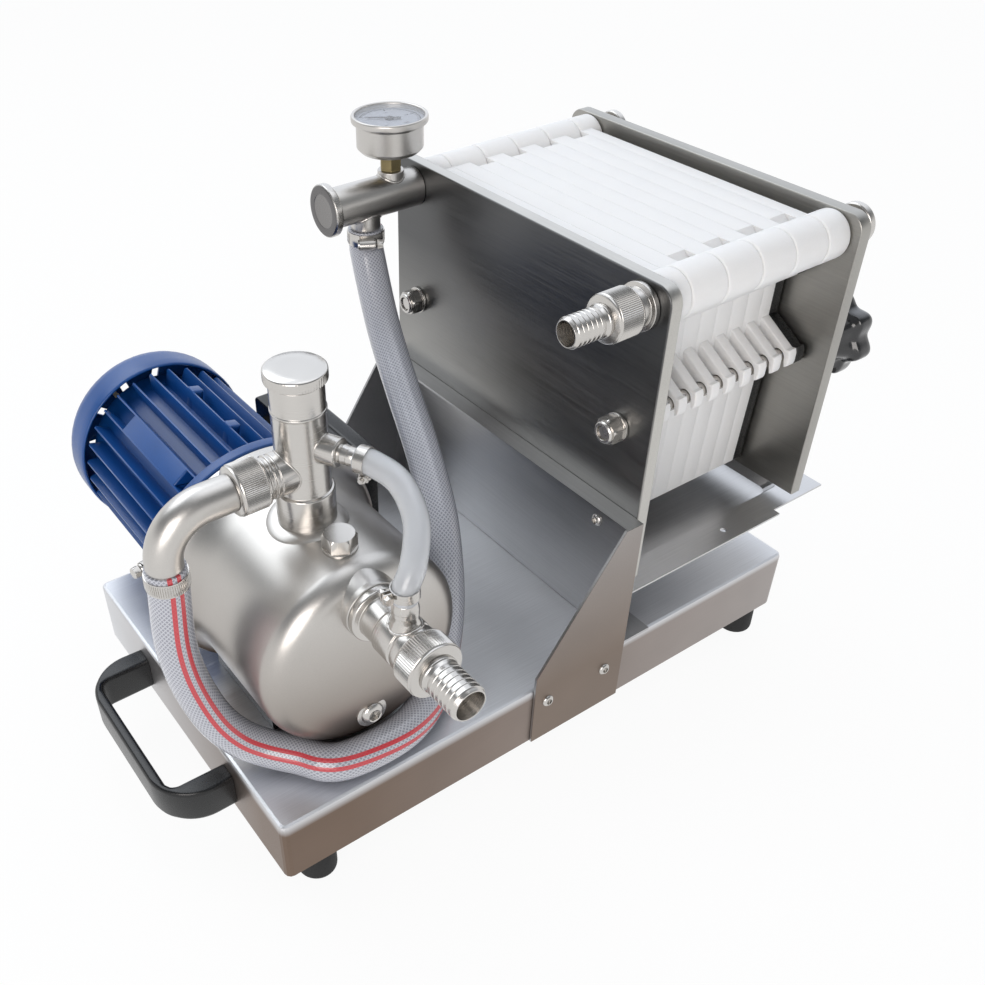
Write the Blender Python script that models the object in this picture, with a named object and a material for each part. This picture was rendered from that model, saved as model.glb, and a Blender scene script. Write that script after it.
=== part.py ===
"""Small plate filter press with its own pump, for wine, beer, juice or oil.

A folded steel tray on four rubber feet carries a self-priming pump with its
electric motor at one end and the press at the other. The press is a pack of
moulded filter plates that hang by hooks on two tie rods between a fixed and
a sliding steel plate, and two lobed knobs draw the sliding plate up.

Lengths are in metres. X runs along the tray from the pump end to the press
end, Y from the near side to the far side, Z up from the floor. The model is
laid out from the tray's near corner and moved at the end, so that the origin
lies at the bottom centre of its bounding box.
"""

import math

import bmesh
import bpy
from mathutils import Matrix, Vector

# Clearances
GAP = 0.0003
SLIDE_FIT = 0.0005

# Tray and feet
TRAY_LENGTH = 0.465
TRAY_DEPTH = 0.288
TRAY_HEIGHT = 0.052
TRAY_SHEET = 0.0015
TRAY_CORNER = 0.005
TRAY_BEND = 0.0025
TRAY_RETURN = 0.036
FOOT_HEIGHT = 0.025
FOOT_RADIUS = 0.014
FOOT_INSET_PUMP = 0.030
FOOT_INSET_PRESS = 0.020
FOOT_INSET_SIDE = 0.0155
TOP = FOOT_HEIGHT + TRAY_HEIGHT
MIDDLE_Y = TRAY_DEPTH / 2

# Carry handle on the pump end
HANDLE_WIDTH = 0.152
HANDLE_REACH = 0.048
HANDLE_LEG = 0.0165
HANDLE_BAR = 0.0080
HANDLE_THICKNESS = 0.028
HANDLE_DROP = 0.031
HANDLE_CORNER = 0.034
HANDLE_INNER_CORNER = 0.008
HANDLE_EDGE = 0.0028

# Folded support of the press
SUPPORT_X = 0.2865
SUPPORT_SHEET = 0.002
SUPPORT_HEIGHT = 0.113
SUPPORT_LIP = 0.0115
SUPPORT_FOOT = 0.026
GUSSET_LENGTH = 0.084
GUSSET_SHOULDER = 0.013
GUSSET_TOP = 0.015

# Steel end plates
STEEL_THICKNESS = 0.010
STEEL_WIDTH = 0.280
STEEL_TOP = 0.278
STEEL_BOTTOM = 0.058
STEEL_CORNER = 0.012

# Tie rods, nuts and clamp knobs
ROD_RADIUS = 0.005
ROD_SPREAD = 0.223
ROD_HEIGHT = 0.172
ROD_FRONT = 0.0155
ROD_BACK = 0.038
NUT_FLATS = 0.017
NUT_HEIGHT = 0.012
NUT_COLLAR = 0.003
WASHER_RADIUS = 0.0100
WASHER_THICKNESS = 0.0020
KNOB_RADIUS = 0.031
KNOB_LOBES = 7
KNOB_WAIST = 0.014
KNOB_LENGTH = 0.040
KNOB_RIM = 0.016

# Filter plates
PLATE_PITCH = 0.0155
PLATE_COUNT = 10
LAST_PLATE = 0.0113
END_PLATE = 0.0090
END_PLATE_TOP = 0.240
PACK_CLEARANCE = 0.0010
BODY_WIDTH = 0.184
BODY_TOP = 0.272
BODY_BOTTOM = 0.063
FOOT_TAPER = 0.003
SHOULDER_DROP = 0.053
SHOULDER_SIZE = 0.015
HOOK_THICKNESS = 0.008
HOOK_WALL = 0.0045
HOOK_RISE = 0.022
HOOK_TIP_DROP = 0.011
HOOK_HEEL_DROP = 0.022
HOOK_OVERLAP = 0.008
EAR_RADIUS = 0.0168
EAR_DROP = 0.0115
EAR_SPREAD = 0.234
EAR_CLEARANCE = 0.001

# Channel fittings
MANIFOLD_RADIUS = 0.014
MANIFOLD_LENGTH = 0.072
MANIFOLD_CAP_RADIUS = 0.0185
MANIFOLD_CAP_THICKNESS = 0.0065
MANIFOLD_HOSE_FROM_PLATE = 0.044
MANIFOLD_GAUGE_FROM_PLATE = 0.021
HOSE_STUB_RADIUS = 0.011
HOSE_STUB_DROP = 0.020
GAUGE_BOSS_RADIUS = 0.0095
GAUGE_BOSS_RISE = 0.017
GAUGE_STEM_FLATS = 0.014
GAUGE_STEM_HEIGHT = 0.013
GAUGE_RADIUS = 0.0238
GAUGE_HEIGHT = 0.025
BEZEL_RADIUS = 0.0272
BEZEL_HEIGHT = 0.0085
GAUGE_RECESS_RADIUS = 0.0245
GAUGE_RECESS = 0.0045
PLUG_RADIUS = 0.0105
PLUG_NECK = 0.012
PLUG_HEAD_RADIUS = 0.0145
PLUG_HEAD = 0.006
SPIGOT_RADIUS = 0.0125
SPIGOT_LENGTH = 0.010
SPIGOT_COLLAR_RADIUS = 0.0155
SPIGOT_COLLAR = 0.004
OUTLET_NUT_RADIUS = 0.0155
OUTLET_NUT_LENGTH = 0.021
TAIL_RADIUS = 0.0100
TAIL_BORE = 0.0078
TAIL_LENGTH = 0.028
TAIL_BARBS = 5
TAIL_BARB_STEP = 0.0007

# Drip tray
DRIP_HEIGHT = 0.049
DRIP_SHEET = 0.0015
DRIP_LENGTH = 0.213
DRIP_FULL_LENGTH = 0.157
DRIP_NOTCH = 0.006
DRIP_RIM = 0.024
DRIP_DEPTH = 0.008
DRIP_FLANGE = 0.022
DRIP_HOLE_RADIUS = 0.0025
DRIP_HOLE_INSET = 0.011
DRIP_CORNER = 0.006
DRIP_SLOPE = 0.006

# Pump
PUMP_X = 0.085
PUMP_AXIS = 0.0845
PUMP_RADIUS = 0.071
PUMP_FRONT = 0.038
PUMP_BACK = 0.142
PUMP_SHOULDER = 0.016
PUMP_DOME = 0.006
PUMP_RIM_RADIUS = 0.0815
PUMP_RIM = 0.014
PUMP_FLARE = 0.030
PUMP_PORT_RADIUS = 0.0195
PUMP_PORT = 0.0005
PUMP_FOOT_LENGTH = 0.096
PUMP_FOOT_DEPTH = 0.080
PUMP_FOOT_HEIGHT = 0.034
PUMP_FOOT_Y = 0.075

# Valve column on the pump
COLUMN_Y = 0.089
COLUMN_BASE_RADIUS = 0.0185
COLUMN_BASE_HEIGHT = 0.0225
COLUMN_RADIUS = 0.0165
COLUMN_HEIGHT = 0.0555
COLUMN_NECK_RADIUS = 0.0155
COLUMN_NECK_HEIGHT = 0.018
CAP_RADIUS = 0.0188
CAP_HEIGHT = 0.0075
BRANCH_RISE = 0.0385
BRANCH_RADIUS = 0.0135
BRANCH_LENGTH = 0.028
UNION_RADIUS = 0.0160
UNION_LENGTH = 0.020
ELBOW_RADIUS = 0.0116
ELBOW_RUN = 0.017
ELBOW_BEND = 0.030
ELBOW_DROP = 0.003
BYPASS_RISE = 0.0545
BYPASS_BOSS_RADIUS = 0.0090
BYPASS_BOSS_LENGTH = 0.027
BYPASS_NIPPLE_RADIUS = 0.0055
BYPASS_NIPPLE_LENGTH = 0.038
BYPASS_TURN = math.radians(-63)

# Suction fitting on the pump's face
SUCTION_Z = 0.131
SUCTION_COLLAR_RADIUS = 0.0190
SUCTION_COLLAR = 0.005
SUCTION_PIPE_RADIUS = 0.0145
SUCTION_PIPE_LENGTH = 0.0145
TEE_RADIUS = 0.0160
TEE_LENGTH = 0.024
TEE_BRANCH_RADIUS = 0.0075
TEE_BRANCH_FOOT = 0.0115
TEE_BRANCH_HEIGHT = 0.032
SUCTION_NUT_RADIUS = 0.0185
SUCTION_NUT_LENGTH = 0.018
SUCTION_TAIL_RADIUS = 0.0118
SUCTION_TAIL_BORE = 0.0095
SUCTION_TAIL_LENGTH = 0.030

# Motor
FLANGE_RADIUS = 0.083
FLANGE_THICKNESS = 0.008
FRAME_RADIUS = 0.053
FRAME_LENGTH = 0.166
FIN_RADIUS = 0.0665
FIN_COUNT = 28
FIN_THICKNESS = 0.0022
FIN_TURN = 3.2
FIN_SHORT = 0.0015
BOSS_WIDTH = 0.0165
BOSS_START = 0.038
BOSS_LENGTH = 0.085
BOSS_GAP_NUMBER = 18
COWL_RADIUS = 0.0685
COWL_SHEET = 0.0025
COWL_LENGTH = 0.036
COWL_BEND = 0.017
COWL_SLOTS = 10
COWL_SLOT = 0.006
COWL_SLOT_START = 0.020
COWL_SLOT_END = 0.050
LUG_WIDTH = 0.012
LUG_LENGTH = 0.012
LUG_COUNT = 4
COWL_OVERLAP = 0.014
FAN_RADIUS = 0.050
FAN_HUB = 0.014
FAN_BLADES = 6
FAN_BLADE = 0.0035
FAN_LENGTH = 0.009
SHAFT_RADIUS = 0.006
SHAFT_SEAT = 0.014
FAN_GAP = 0.005
BOX_LENGTH = 0.116
BOX_HEIGHT = 0.074
BOX_BASE = 0.065
BOX_REACH = 0.103
BOX_FROM_FLANGE = 0.002
BOX_CORNER = 0.004
BOX_PAD_HEIGHT = 0.048
BOX_PAD_INSET = 0.010

# Hoses
HOSE_RADIUS = 0.0127
BYPASS_RADIUS = 0.0078
HOSE_STEP = 0.021
BYPASS_STEP = 0.010

# Routes of the hoses, from the tray's corner and top
MAIN_ROUTE = (
    (-0.0150, 0.0840, 0.1080),
    (-0.0125, 0.0800, 0.0760),
    (-0.0050, 0.0710, 0.0460),
    (0.0060, 0.0620, 0.0270),
    (0.0200, 0.0510, 0.0170),
    (0.0365, 0.0350, 0.0134),
    (0.0460, 0.0218, 0.0134),
    (0.0580, 0.0152, 0.0134),
    (0.0800, 0.0125, 0.0134),
    (0.1040, 0.0142, 0.0134),
    (0.1260, 0.0230, 0.0140),
    (0.1460, 0.0380, 0.0170),
    (0.1640, 0.0530, 0.0280),
    (0.1750, 0.0640, 0.0520),
    (0.1820, 0.0760, 0.0780),
    (0.1940, 0.1000, 0.1020),
    (0.2080, 0.1380, 0.1250),
    (0.2220, 0.1820, 0.1480),
    (0.2360, 0.2280, 0.1780),
)
BYPASS_ROUTE = (
    (0.111, 0.026, 0.207),
    (0.107, 0.004, 0.196),
    (0.094, -0.012, 0.182),
)

# Places worked out from the sizes above
PLATE_FRONT = SUPPORT_X + SUPPORT_SHEET + GAP
PACK_FRONT = PLATE_FRONT + STEEL_THICKNESS + GAP
LAST_FRONT = PACK_FRONT + (PLATE_COUNT - 1) * PLATE_PITCH
PACK_BACK = LAST_FRONT + LAST_PLATE + GAP + END_PLATE
REAR_FRONT = PACK_BACK + PACK_CLEARANCE
REAR_BACK = REAR_FRONT + STEEL_THICKNESS
EAR_HEIGHT = BODY_TOP - EAR_DROP
SHOULDER_HEIGHT = BODY_TOP - SHOULDER_DROP
CHANNEL_Z = TOP + EAR_HEIGHT
ROD_Z = TOP + ROD_HEIGHT
NEAR_ROD_Y = MIDDLE_Y - ROD_SPREAD / 2
FAR_ROD_Y = MIDDLE_Y + ROD_SPREAD / 2
NEAR_CHANNEL_Y = MIDDLE_Y - EAR_SPREAD / 2
FAR_CHANNEL_Y = MIDDLE_Y + EAR_SPREAD / 2
PUMP_Z = TOP + PUMP_AXIS
COLUMN_FOOT = PUMP_Z + PUMP_RADIUS + GAP
SUCTION_FACE = PUMP_FRONT - PUMP_SHOULDER - PUMP_DOME - PUMP_PORT
FLANGE_FRONT = PUMP_BACK + PUMP_RIM + GAP
FRAME_FRONT = FLANGE_FRONT + FLANGE_THICKNESS
ELBOW_END = (
    PUMP_X - BRANCH_LENGTH - UNION_LENGTH - 2 * GAP - ELBOW_RUN - ELBOW_BEND,
    COLUMN_Y,
    COLUMN_FOOT + BRANCH_RISE - ELBOW_BEND - ELBOW_DROP,
)
COWL_FRONT = FRAME_FRONT + FRAME_LENGTH - COWL_OVERLAP


def clear_scene():
    """Start from an empty scene."""
    for old in list(bpy.data.objects):
        bpy.data.objects.remove(old, do_unlink=True)


def material(name, colour, roughness, metallic=0.0):
    """A plain Principled material; colour is linear RGB."""
    shader = bpy.data.materials.new(name)
    shader.use_nodes = True
    principled = shader.node_tree.nodes["Principled BSDF"]
    principled.inputs["Base Color"].default_value = (*colour, 1.0)
    principled.inputs["Roughness"].default_value = roughness
    principled.inputs["Metallic"].default_value = metallic
    shader.diffuse_color = (*colour, 1.0)
    return shader


def new_object(name, mesh_data, shader, location=(0, 0, 0), rotation=None, smooth=35):
    """Turn a bmesh into a named object with one material."""
    bmesh.ops.recalc_face_normals(mesh_data, faces=mesh_data.faces)
    mesh = bpy.data.meshes.new(name)
    mesh_data.to_mesh(mesh)
    mesh_data.free()
    mesh.shade_smooth()
    mesh.set_sharp_from_angle(angle=math.radians(smooth))
    mesh.materials.append(shader)
    piece = bpy.data.objects.new(name, mesh)
    bpy.context.scene.collection.objects.link(piece)
    piece.location = location
    if rotation is not None:
        piece.rotation_euler = rotation
    return piece


def as_tool(piece):
    """Mark an object as a cutter or a shape that is joined to another."""
    piece.hide_render = True
    piece.display_type = "WIRE"
    return piece


def boolean(target, tool, operation):
    """Cut or join with the exact solver."""
    as_tool(tool)
    modifier = target.modifiers.new(operation.title() + " " + tool.name, "BOOLEAN")
    modifier.operation = operation
    modifier.solver = "EXACT"
    modifier.object = tool
    return target


def bevel(target, width, segments=2, angle=40):
    """Round the sharp edges of an object."""
    modifier = target.modifiers.new("Edges", "BEVEL")
    modifier.width = width
    modifier.segments = segments
    modifier.limit_method = "ANGLE"
    modifier.angle_limit = math.radians(angle)
    modifier.use_clamp_overlap = True
    return target


def loft(loops, closed=False):
    """Skin a row of loops that have the same number of points, with end caps unless closed."""
    data = bmesh.new()
    rings = [[data.verts.new(point) for point in loop] for loop in loops]
    pairs = list(zip(rings, rings[1:]))
    if closed:
        pairs.append((rings[-1], rings[0]))
    for low, high in pairs:
        count = len(low)
        for i in range(count):
            j = (i + 1) % count
            data.faces.new((low[i], low[j], high[j], high[i]))
    if not closed:
        data.faces.new(list(reversed(rings[0])))
        data.faces.new(rings[-1])
    return data


def arc(centre, radius, start, stop, steps):
    """Points of an arc in a plane; angles in degrees."""
    span = [math.radians(start + (stop - start) * i / steps) for i in range(steps + 1)]
    return [(centre[0] + radius * math.cos(a), centre[1] + radius * math.sin(a)) for a in span]


def rounded_rectangle(left, right, low, high, radius, steps=3):
    """Outline of a rectangle with round corners, anticlockwise."""
    corners = (
        (right - radius, low + radius, -90),
        (right - radius, high - radius, 0),
        (left + radius, high - radius, 90),
        (left + radius, low + radius, 180),
    )
    outline = []
    for x, y, start in corners:
        outline += arc((x, y), radius, start, start + 90, steps)
    return outline


def prism(outline, depth, holes=()):
    """A flat outline in XY with round or other holes, extruded along +Z."""
    data = bmesh.new()
    edges = []
    for loop in (outline, *holes):
        ring = [data.verts.new((x, y, 0.0)) for x, y in loop]
        edges += [data.edges.new((ring[i], ring[(i + 1) % len(ring)])) for i in range(len(ring))]
    if holes:
        bmesh.ops.triangle_fill(data, use_beauty=True, use_dissolve=False, edges=edges)
    else:
        bmesh.ops.contextual_create(data, geom=edges)
    lifted = bmesh.ops.extrude_face_region(data, geom=list(data.faces))
    corners = [item for item in lifted["geom"] if isinstance(item, bmesh.types.BMVert)]
    bmesh.ops.translate(data, verts=corners, vec=(0, 0, depth))
    return data


def circle(centre, radius, steps=24):
    """Outline of a circle."""
    return arc(centre, radius, 0, 360 - 360 / steps, steps - 1)


def hexagon(flats):
    """Outline of a hexagon, given the distance across its flats."""
    return circle((0, 0), flats / math.sqrt(3), 6)


def turned(profile, steps=24, hollow=False):
    """A turned body about Z from (radius, height) points; hollow closes the profile on itself."""
    data = bmesh.new()
    rings = []
    for radius, height in profile:
        if radius < 1e-7:
            rings.append([data.verts.new((0, 0, height))])
        else:
            turns = [2 * math.pi * i / steps for i in range(steps)]
            rings.append([data.verts.new((radius * math.cos(a), radius * math.sin(a), height)) for a in turns])
    pairs = list(zip(rings, rings[1:]))
    if hollow:
        pairs.append((rings[-1], rings[0]))
    for low, high in pairs:
        if len(low) == 1 and len(high) == 1:
            continue
        for i in range(steps):
            j = (i + 1) % steps
            corners = [low[i % len(low)], low[j % len(low)], high[j % len(high)], high[i % len(high)]]
            unique = list(dict.fromkeys(corners))
            data.faces.new(unique)
    return data


ALONG_X = (0, math.pi / 2, 0)
AGAINST_X = (0, -math.pi / 2, 0)
ALONG_Y = (-math.pi / 2, 0, 0)
AGAINST_Y = (math.pi / 2, 0, 0)
DOWN = (math.pi, 0, 0)


def stand_in_yz(data):
    """Turn a prism drawn in (Y, Z) and extruded along Z so that it is extruded along X."""
    turn = Matrix(((0, 0, 1, 0), (1, 0, 0, 0), (0, 1, 0, 0), (0, 0, 0, 1)))
    bmesh.ops.transform(data, matrix=turn, verts=data.verts)
    return data


def stand_in_xz(data):
    """Turn a prism drawn in (X, Z) and extruded along Z so that it is extruded along Y."""
    turn = Matrix(((1, 0, 0, 0), (0, 0, 1, 0), (0, 1, 0, 0), (0, 0, 0, 1)))
    bmesh.ops.transform(data, matrix=turn, verts=data.verts)
    return data


def box(size):
    """A box from the origin to the given size."""
    return prism([(0, 0), (size[0], 0), (size[0], size[1]), (0, size[1])], size[2])


# Tray, feet and handle

def base_tray(steel):
    """Folded tray, open below, with a flange turned in all round."""
    def ring(inset, radius, height):
        outline = rounded_rectangle(inset, TRAY_LENGTH - inset, inset, TRAY_DEPTH - inset, radius)
        return [(x, y, height) for x, y in outline]

    sheet = TRAY_SHEET
    inner_corner = TRAY_CORNER - sheet
    low = FOOT_HEIGHT
    loops = [ring(sheet, inner_corner, TOP - sheet), ring(sheet, inner_corner, low + sheet)]
    loops += [ring(TRAY_RETURN, inner_corner, low + sheet), ring(TRAY_RETURN, inner_corner, low)]
    loops += [ring(0.0, TRAY_CORNER, low), ring(0.0, TRAY_CORNER, TOP - TRAY_BEND)]
    inset = TRAY_BEND * (1 - math.cos(math.radians(45)))
    loops += [ring(inset, TRAY_CORNER - inset, TOP - inset), ring(TRAY_BEND, TRAY_CORNER - TRAY_BEND, TOP)]
    return new_object("base_tray", loft(loops), steel)


def feet(rubber):
    """Four turned rubber feet under the tray's corners."""
    far_x = TRAY_LENGTH - FOOT_INSET_PRESS
    far_y = TRAY_DEPTH - FOOT_INSET_SIDE
    places = {
        "foot_near_pump_end": (FOOT_INSET_PUMP, FOOT_INSET_SIDE),
        "foot_near_press_end": (far_x, FOOT_INSET_SIDE),
        "foot_far_pump_end": (FOOT_INSET_PUMP, far_y),
        "foot_far_press_end": (far_x, far_y),
    }
    height = FOOT_HEIGHT - GAP
    edge = 0.0015
    profile = [(0, 0), (FOOT_RADIUS - edge, 0), (FOOT_RADIUS, edge)]
    profile += [(FOOT_RADIUS * 0.86, height), (0, height)]
    return [new_object(name, turned(profile, 16), rubber, (x, y, 0)) for name, (x, y) in places.items()]


def carry_handle(plastic):
    """Bail handle with two broad legs, screwed to the tray's pump end."""
    half = HANDLE_WIDTH / 2
    inner = half - HANDLE_LEG
    reach = HANDLE_REACH
    grip = HANDLE_REACH - HANDLE_BAR
    outline = [(-GAP, half)]
    outline += arc((-reach + HANDLE_CORNER, half - HANDLE_CORNER), HANDLE_CORNER, 90, 180, 8)
    outline += arc((-reach + HANDLE_CORNER, -half + HANDLE_CORNER), HANDLE_CORNER, 180, 270, 8)
    outline += [(-GAP, -half), (-GAP, -inner)]
    outline += arc((-grip + HANDLE_INNER_CORNER, -inner + HANDLE_INNER_CORNER), HANDLE_INNER_CORNER, 270, 180, 4)
    outline += arc((-grip + HANDLE_INNER_CORNER, inner - HANDLE_INNER_CORNER), HANDLE_INNER_CORNER, 180, 90, 4)
    outline += [(-GAP, inner)]
    low = TOP - HANDLE_DROP - HANDLE_THICKNESS / 2
    handle = new_object("carry_handle", prism(outline, HANDLE_THICKNESS), plastic, (0, MIDDLE_Y, low))
    return bevel(handle, HANDLE_EDGE, 1)


# Press

def press_support(steel):
    """Folded sheet: panel with a lip and a foot, and a gusset down each side of the tray."""
    front = SUPPORT_X
    back = SUPPORT_X + SUPPORT_SHEET
    low = TOP + GAP
    high = TOP + SUPPORT_HEIGHT
    sheet = SUPPORT_SHEET
    section = [(front, low), (back + SUPPORT_FOOT, low), (back + SUPPORT_FOOT, low + sheet)]
    section += [(back, low + sheet), (back, high), (front - SUPPORT_LIP, high)]
    section += [(front - SUPPORT_LIP, high - sheet), (front, high - sheet)]
    side = sheet + GAP
    overlap = GAP + sheet / 2
    panel = stand_in_xz(prism(section, TRAY_DEPTH + 2 * overlap))
    support = new_object("press_support", panel, steel, (0, -overlap, 0))
    gusset = [(back - GUSSET_LENGTH, FOOT_HEIGHT), (back, FOOT_HEIGHT), (back, high)]
    gusset += [(back - GUSSET_TOP, high), (back - GUSSET_LENGTH, TOP + GUSSET_SHOULDER)]
    for name, y in (("near gusset", -side), ("far gusset", TRAY_DEPTH + GAP)):
        wing = new_object(name, stand_in_xz(prism(gusset, sheet)), steel, (0, y, 0))
        boolean(support, wing, "UNION")
    return support


def steel_plate(name, x, steel):
    """End plate with round top corners and a hole for each tie rod."""
    half = STEEL_WIDTH / 2
    high = TOP + STEEL_TOP
    low = TOP + STEEL_BOTTOM
    outline = [(-half, low), (half, low)]
    outline += arc((half - STEEL_CORNER, high - STEEL_CORNER), STEEL_CORNER, 0, 90, 5)
    outline += arc((-half + STEEL_CORNER, high - STEEL_CORNER), STEEL_CORNER, 90, 180, 5)
    rods = [circle((y - MIDDLE_Y, ROD_Z), ROD_RADIUS + SLIDE_FIT, 16) for y in (NEAR_ROD_Y, FAR_ROD_Y)]
    data = stand_in_yz(prism(outline, STEEL_THICKNESS, rods))
    return new_object(name, data, steel, (x, MIDDLE_Y, 0))


def near_edge(kind):
    """Near half of a plate's outline as (Y from the middle, Z), from the top down to the foot."""
    body = -BODY_WIDTH / 2
    ear = (-EAR_SPREAD / 2, EAR_HEIGHT)
    if kind == "eared":
        lift = math.degrees(math.asin((BODY_TOP - EAR_HEIGHT) / EAR_RADIUS))
        points = arc(ear, EAR_RADIUS, lift, 285, 9)
    elif kind == "cut":
        radius = EAR_RADIUS + EAR_CLEARANCE
        lift = math.degrees(math.asin((BODY_TOP - EAR_HEIGHT) / radius))
        points = arc(ear, radius, lift, -75, 4)
    else:
        points = [(body - SHOULDER_SIZE, END_PLATE_TOP)]
    points += [(body - SHOULDER_SIZE, SHOULDER_HEIGHT + SHOULDER_SIZE * 0.75), (body, SHOULDER_HEIGHT)]
    points += [(body, BODY_TOP / 2), (body + FOOT_TAPER, BODY_BOTTOM + FOOT_TAPER)]
    return points + [(body + 2 * FOOT_TAPER, BODY_BOTTOM)]


def plate_outline(kind):
    """Whole outline of a plate, mirrored about its middle."""
    near = near_edge(kind)
    far = [(-y, z) for y, z in reversed(near)]
    return [(y, z + TOP) for y, z in near + far]


def hook_outline():
    """Near hook as (Y from the middle, Z), open below and let into the side of the plate."""
    body = -BODY_WIDTH / 2
    rod = -ROD_SPREAD / 2
    notch = ROD_RADIUS + SLIDE_FIT
    outer = rod - notch - HOOK_WALL
    root = ROD_HEIGHT + HOOK_RISE
    tip = ROD_HEIGHT - HOOK_TIP_DROP
    heel = ROD_HEIGHT - HOOK_HEEL_DROP
    corner = HOOK_WALL / 2
    slope = (HOOK_RISE - HOOK_WALL) / (body - outer)
    points = [(body + HOOK_OVERLAP, root), (body, root), (outer + corner, root - slope * (body - outer - corner))]
    points += [(outer, ROD_HEIGHT + HOOK_WALL), (outer, tip + HOOK_WALL), (outer + HOOK_WALL, tip)]
    points += arc((rod, ROD_HEIGHT), notch, 180, 0, 6)
    points += [(rod + notch, tip), (body, heel), (body + HOOK_OVERLAP, heel)]
    return [(y, z + TOP) for y, z in points]


def hooked_plate(name, kind, x, thickness, plastic):
    """A plate with a hook for each tie rod in the middle of its thickness."""
    plate = new_object(name, stand_in_yz(prism(plate_outline(kind), thickness)), plastic, (x, MIDDLE_Y, 0))
    start = x + (thickness - HOOK_THICKNESS) / 2
    near = hook_outline()
    for side, outline in (("near", near), ("far", [(-y, z) for y, z in near])):
        data = stand_in_yz(prism(outline, HOOK_THICKNESS))
        boolean(plate, new_object(f"{name} {side} hook", data, plastic, (start, MIDDLE_Y, 0)), "UNION")
    return plate


def filter_plate(index, plastic):
    """One moulded plate; every other plate carries the ears of two."""
    x = PACK_FRONT + index * PLATE_PITCH
    last = index == PLATE_COUNT - 1
    thickness = LAST_PLATE if last else PLATE_PITCH - GAP
    eared = index == 0 or index % 2 == 1
    name = f"filter_plate_{index + 1:02d}"
    plate = hooked_plate(name, "eared" if eared else "cut", x, thickness, plastic)
    if index > 0 and eared:
        length = REAR_FRONT - GAP - x if last else 2 * PLATE_PITCH - GAP
        start = thickness / 2
        for side, y in (("near", NEAR_CHANNEL_Y), ("far", FAR_CHANNEL_Y)):
            profile = [(0, 0), (EAR_RADIUS, 0), (EAR_RADIUS, length - start), (0, length - start)]
            ear = new_object(f"{name} {side} ear", turned(profile, 18), plastic, (x + start, y, CHANNEL_Z), ALONG_X)
            boolean(plate, ear, "UNION")
    return plate


def end_plate(plastic):
    """Black pressure plate behind the pack; its top lies below the ears."""
    return hooked_plate("end_plate", "low", PACK_BACK - END_PLATE, END_PLATE, plastic)


def tie_rods(steel):
    """Two threaded rods through the press."""
    start = PLATE_FRONT - ROD_FRONT - WASHER_THICKNESS
    length = REAR_BACK + ROD_BACK - start
    chamfer = 0.001
    profile = [(0, 0), (ROD_RADIUS - chamfer, 0), (ROD_RADIUS, chamfer), (ROD_RADIUS, length), (0, length)]
    places = {"tie_rod_near": NEAR_ROD_Y, "tie_rod_far": FAR_ROD_Y}
    return [new_object(name, turned(profile, 16), steel, (start, y, ROD_Z), ALONG_X) for name, y in places.items()]


def lock_nut(name, y, steel):
    """Washer and lock nut with a round collar, against the fixed plate."""
    bore = ROD_RADIUS + GAP
    start = PLATE_FRONT - GAP
    washer = [(bore, 0), (WASHER_RADIUS, 0), (WASHER_RADIUS, WASHER_THICKNESS), (bore, WASHER_THICKNESS)]
    nut = new_object(name, turned(washer, 16, True), steel, (start, y, ROD_Z), AGAINST_X)
    body = prism(hexagon(NUT_FLATS), NUT_HEIGHT, [circle((0, 0), bore, 16)])
    flats = new_object(name + " flats", body, steel, (start - WASHER_THICKNESS * 0.5, y, ROD_Z), AGAINST_X)
    boolean(nut, flats, "UNION")
    radius = NUT_FLATS / 2 - 0.0005
    top = WASHER_THICKNESS * 0.5 + NUT_HEIGHT
    collar = [(bore, top - 0.002), (radius, top - 0.002), (radius - 0.001, top + NUT_COLLAR - 0.002)]
    collar += [(bore, top + NUT_COLLAR - 0.002)]
    ring = new_object(name + " collar", turned(collar, 16, True), steel, (start, y, ROD_Z), AGAINST_X)
    boolean(nut, ring, "UNION")
    return nut


def clamp_knob(name, y, plastic):
    """Lobed knob on the threaded end of a tie rod; its origin is on the rod's axis."""
    steps = KNOB_LOBES * 5
    lobe_depth = 0.07

    def ring(radius, lobes, height):
        points = []
        for i in range(steps):
            turn = 2 * math.pi * i / steps
            reach = radius * (1 + lobes * lobe_depth * math.cos(KNOB_LOBES * turn))
            points.append((reach * math.cos(turn), reach * math.sin(turn), height))
        return points

    bore = ROD_RADIUS + SLIDE_FIT
    depth = ROD_BACK + 0.001
    rim = KNOB_LENGTH - KNOB_RIM
    full = KNOB_RADIUS / (1 + lobe_depth)
    loops = [ring(bore, 0, depth), ring(bore, 0, 0), ring(KNOB_WAIST, 0, 0), ring(KNOB_WAIST, 0, 0.005)]
    loops += [ring(full * 0.80, 0.6, rim), ring(full, 1, rim + 0.003), ring(full, 1, KNOB_LENGTH - 0.004)]
    loops += [ring(full * 0.92, 0.9, KNOB_LENGTH), ring(full * 0.5, 0.2, KNOB_LENGTH + 0.001)]
    return new_object(name, loft(loops), plastic, (REAR_BACK + GAP, y, ROD_Z), ALONG_X)


def channel_plug(name, y, steel):
    """Screwed plug with a round head, in the sliding plate behind a channel."""
    edge = 0.001
    length = PLUG_NECK + PLUG_HEAD
    profile = [(0, 0), (PLUG_RADIUS, 0), (PLUG_RADIUS, PLUG_NECK), (PLUG_HEAD_RADIUS, PLUG_NECK)]
    profile += [(PLUG_HEAD_RADIUS, length - edge), (PLUG_HEAD_RADIUS - edge, length), (0, length)]
    return new_object(name, turned(profile, 20), steel, (REAR_BACK + GAP, y, CHANNEL_Z), ALONG_X)


# Channel fittings on the fixed plate

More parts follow.
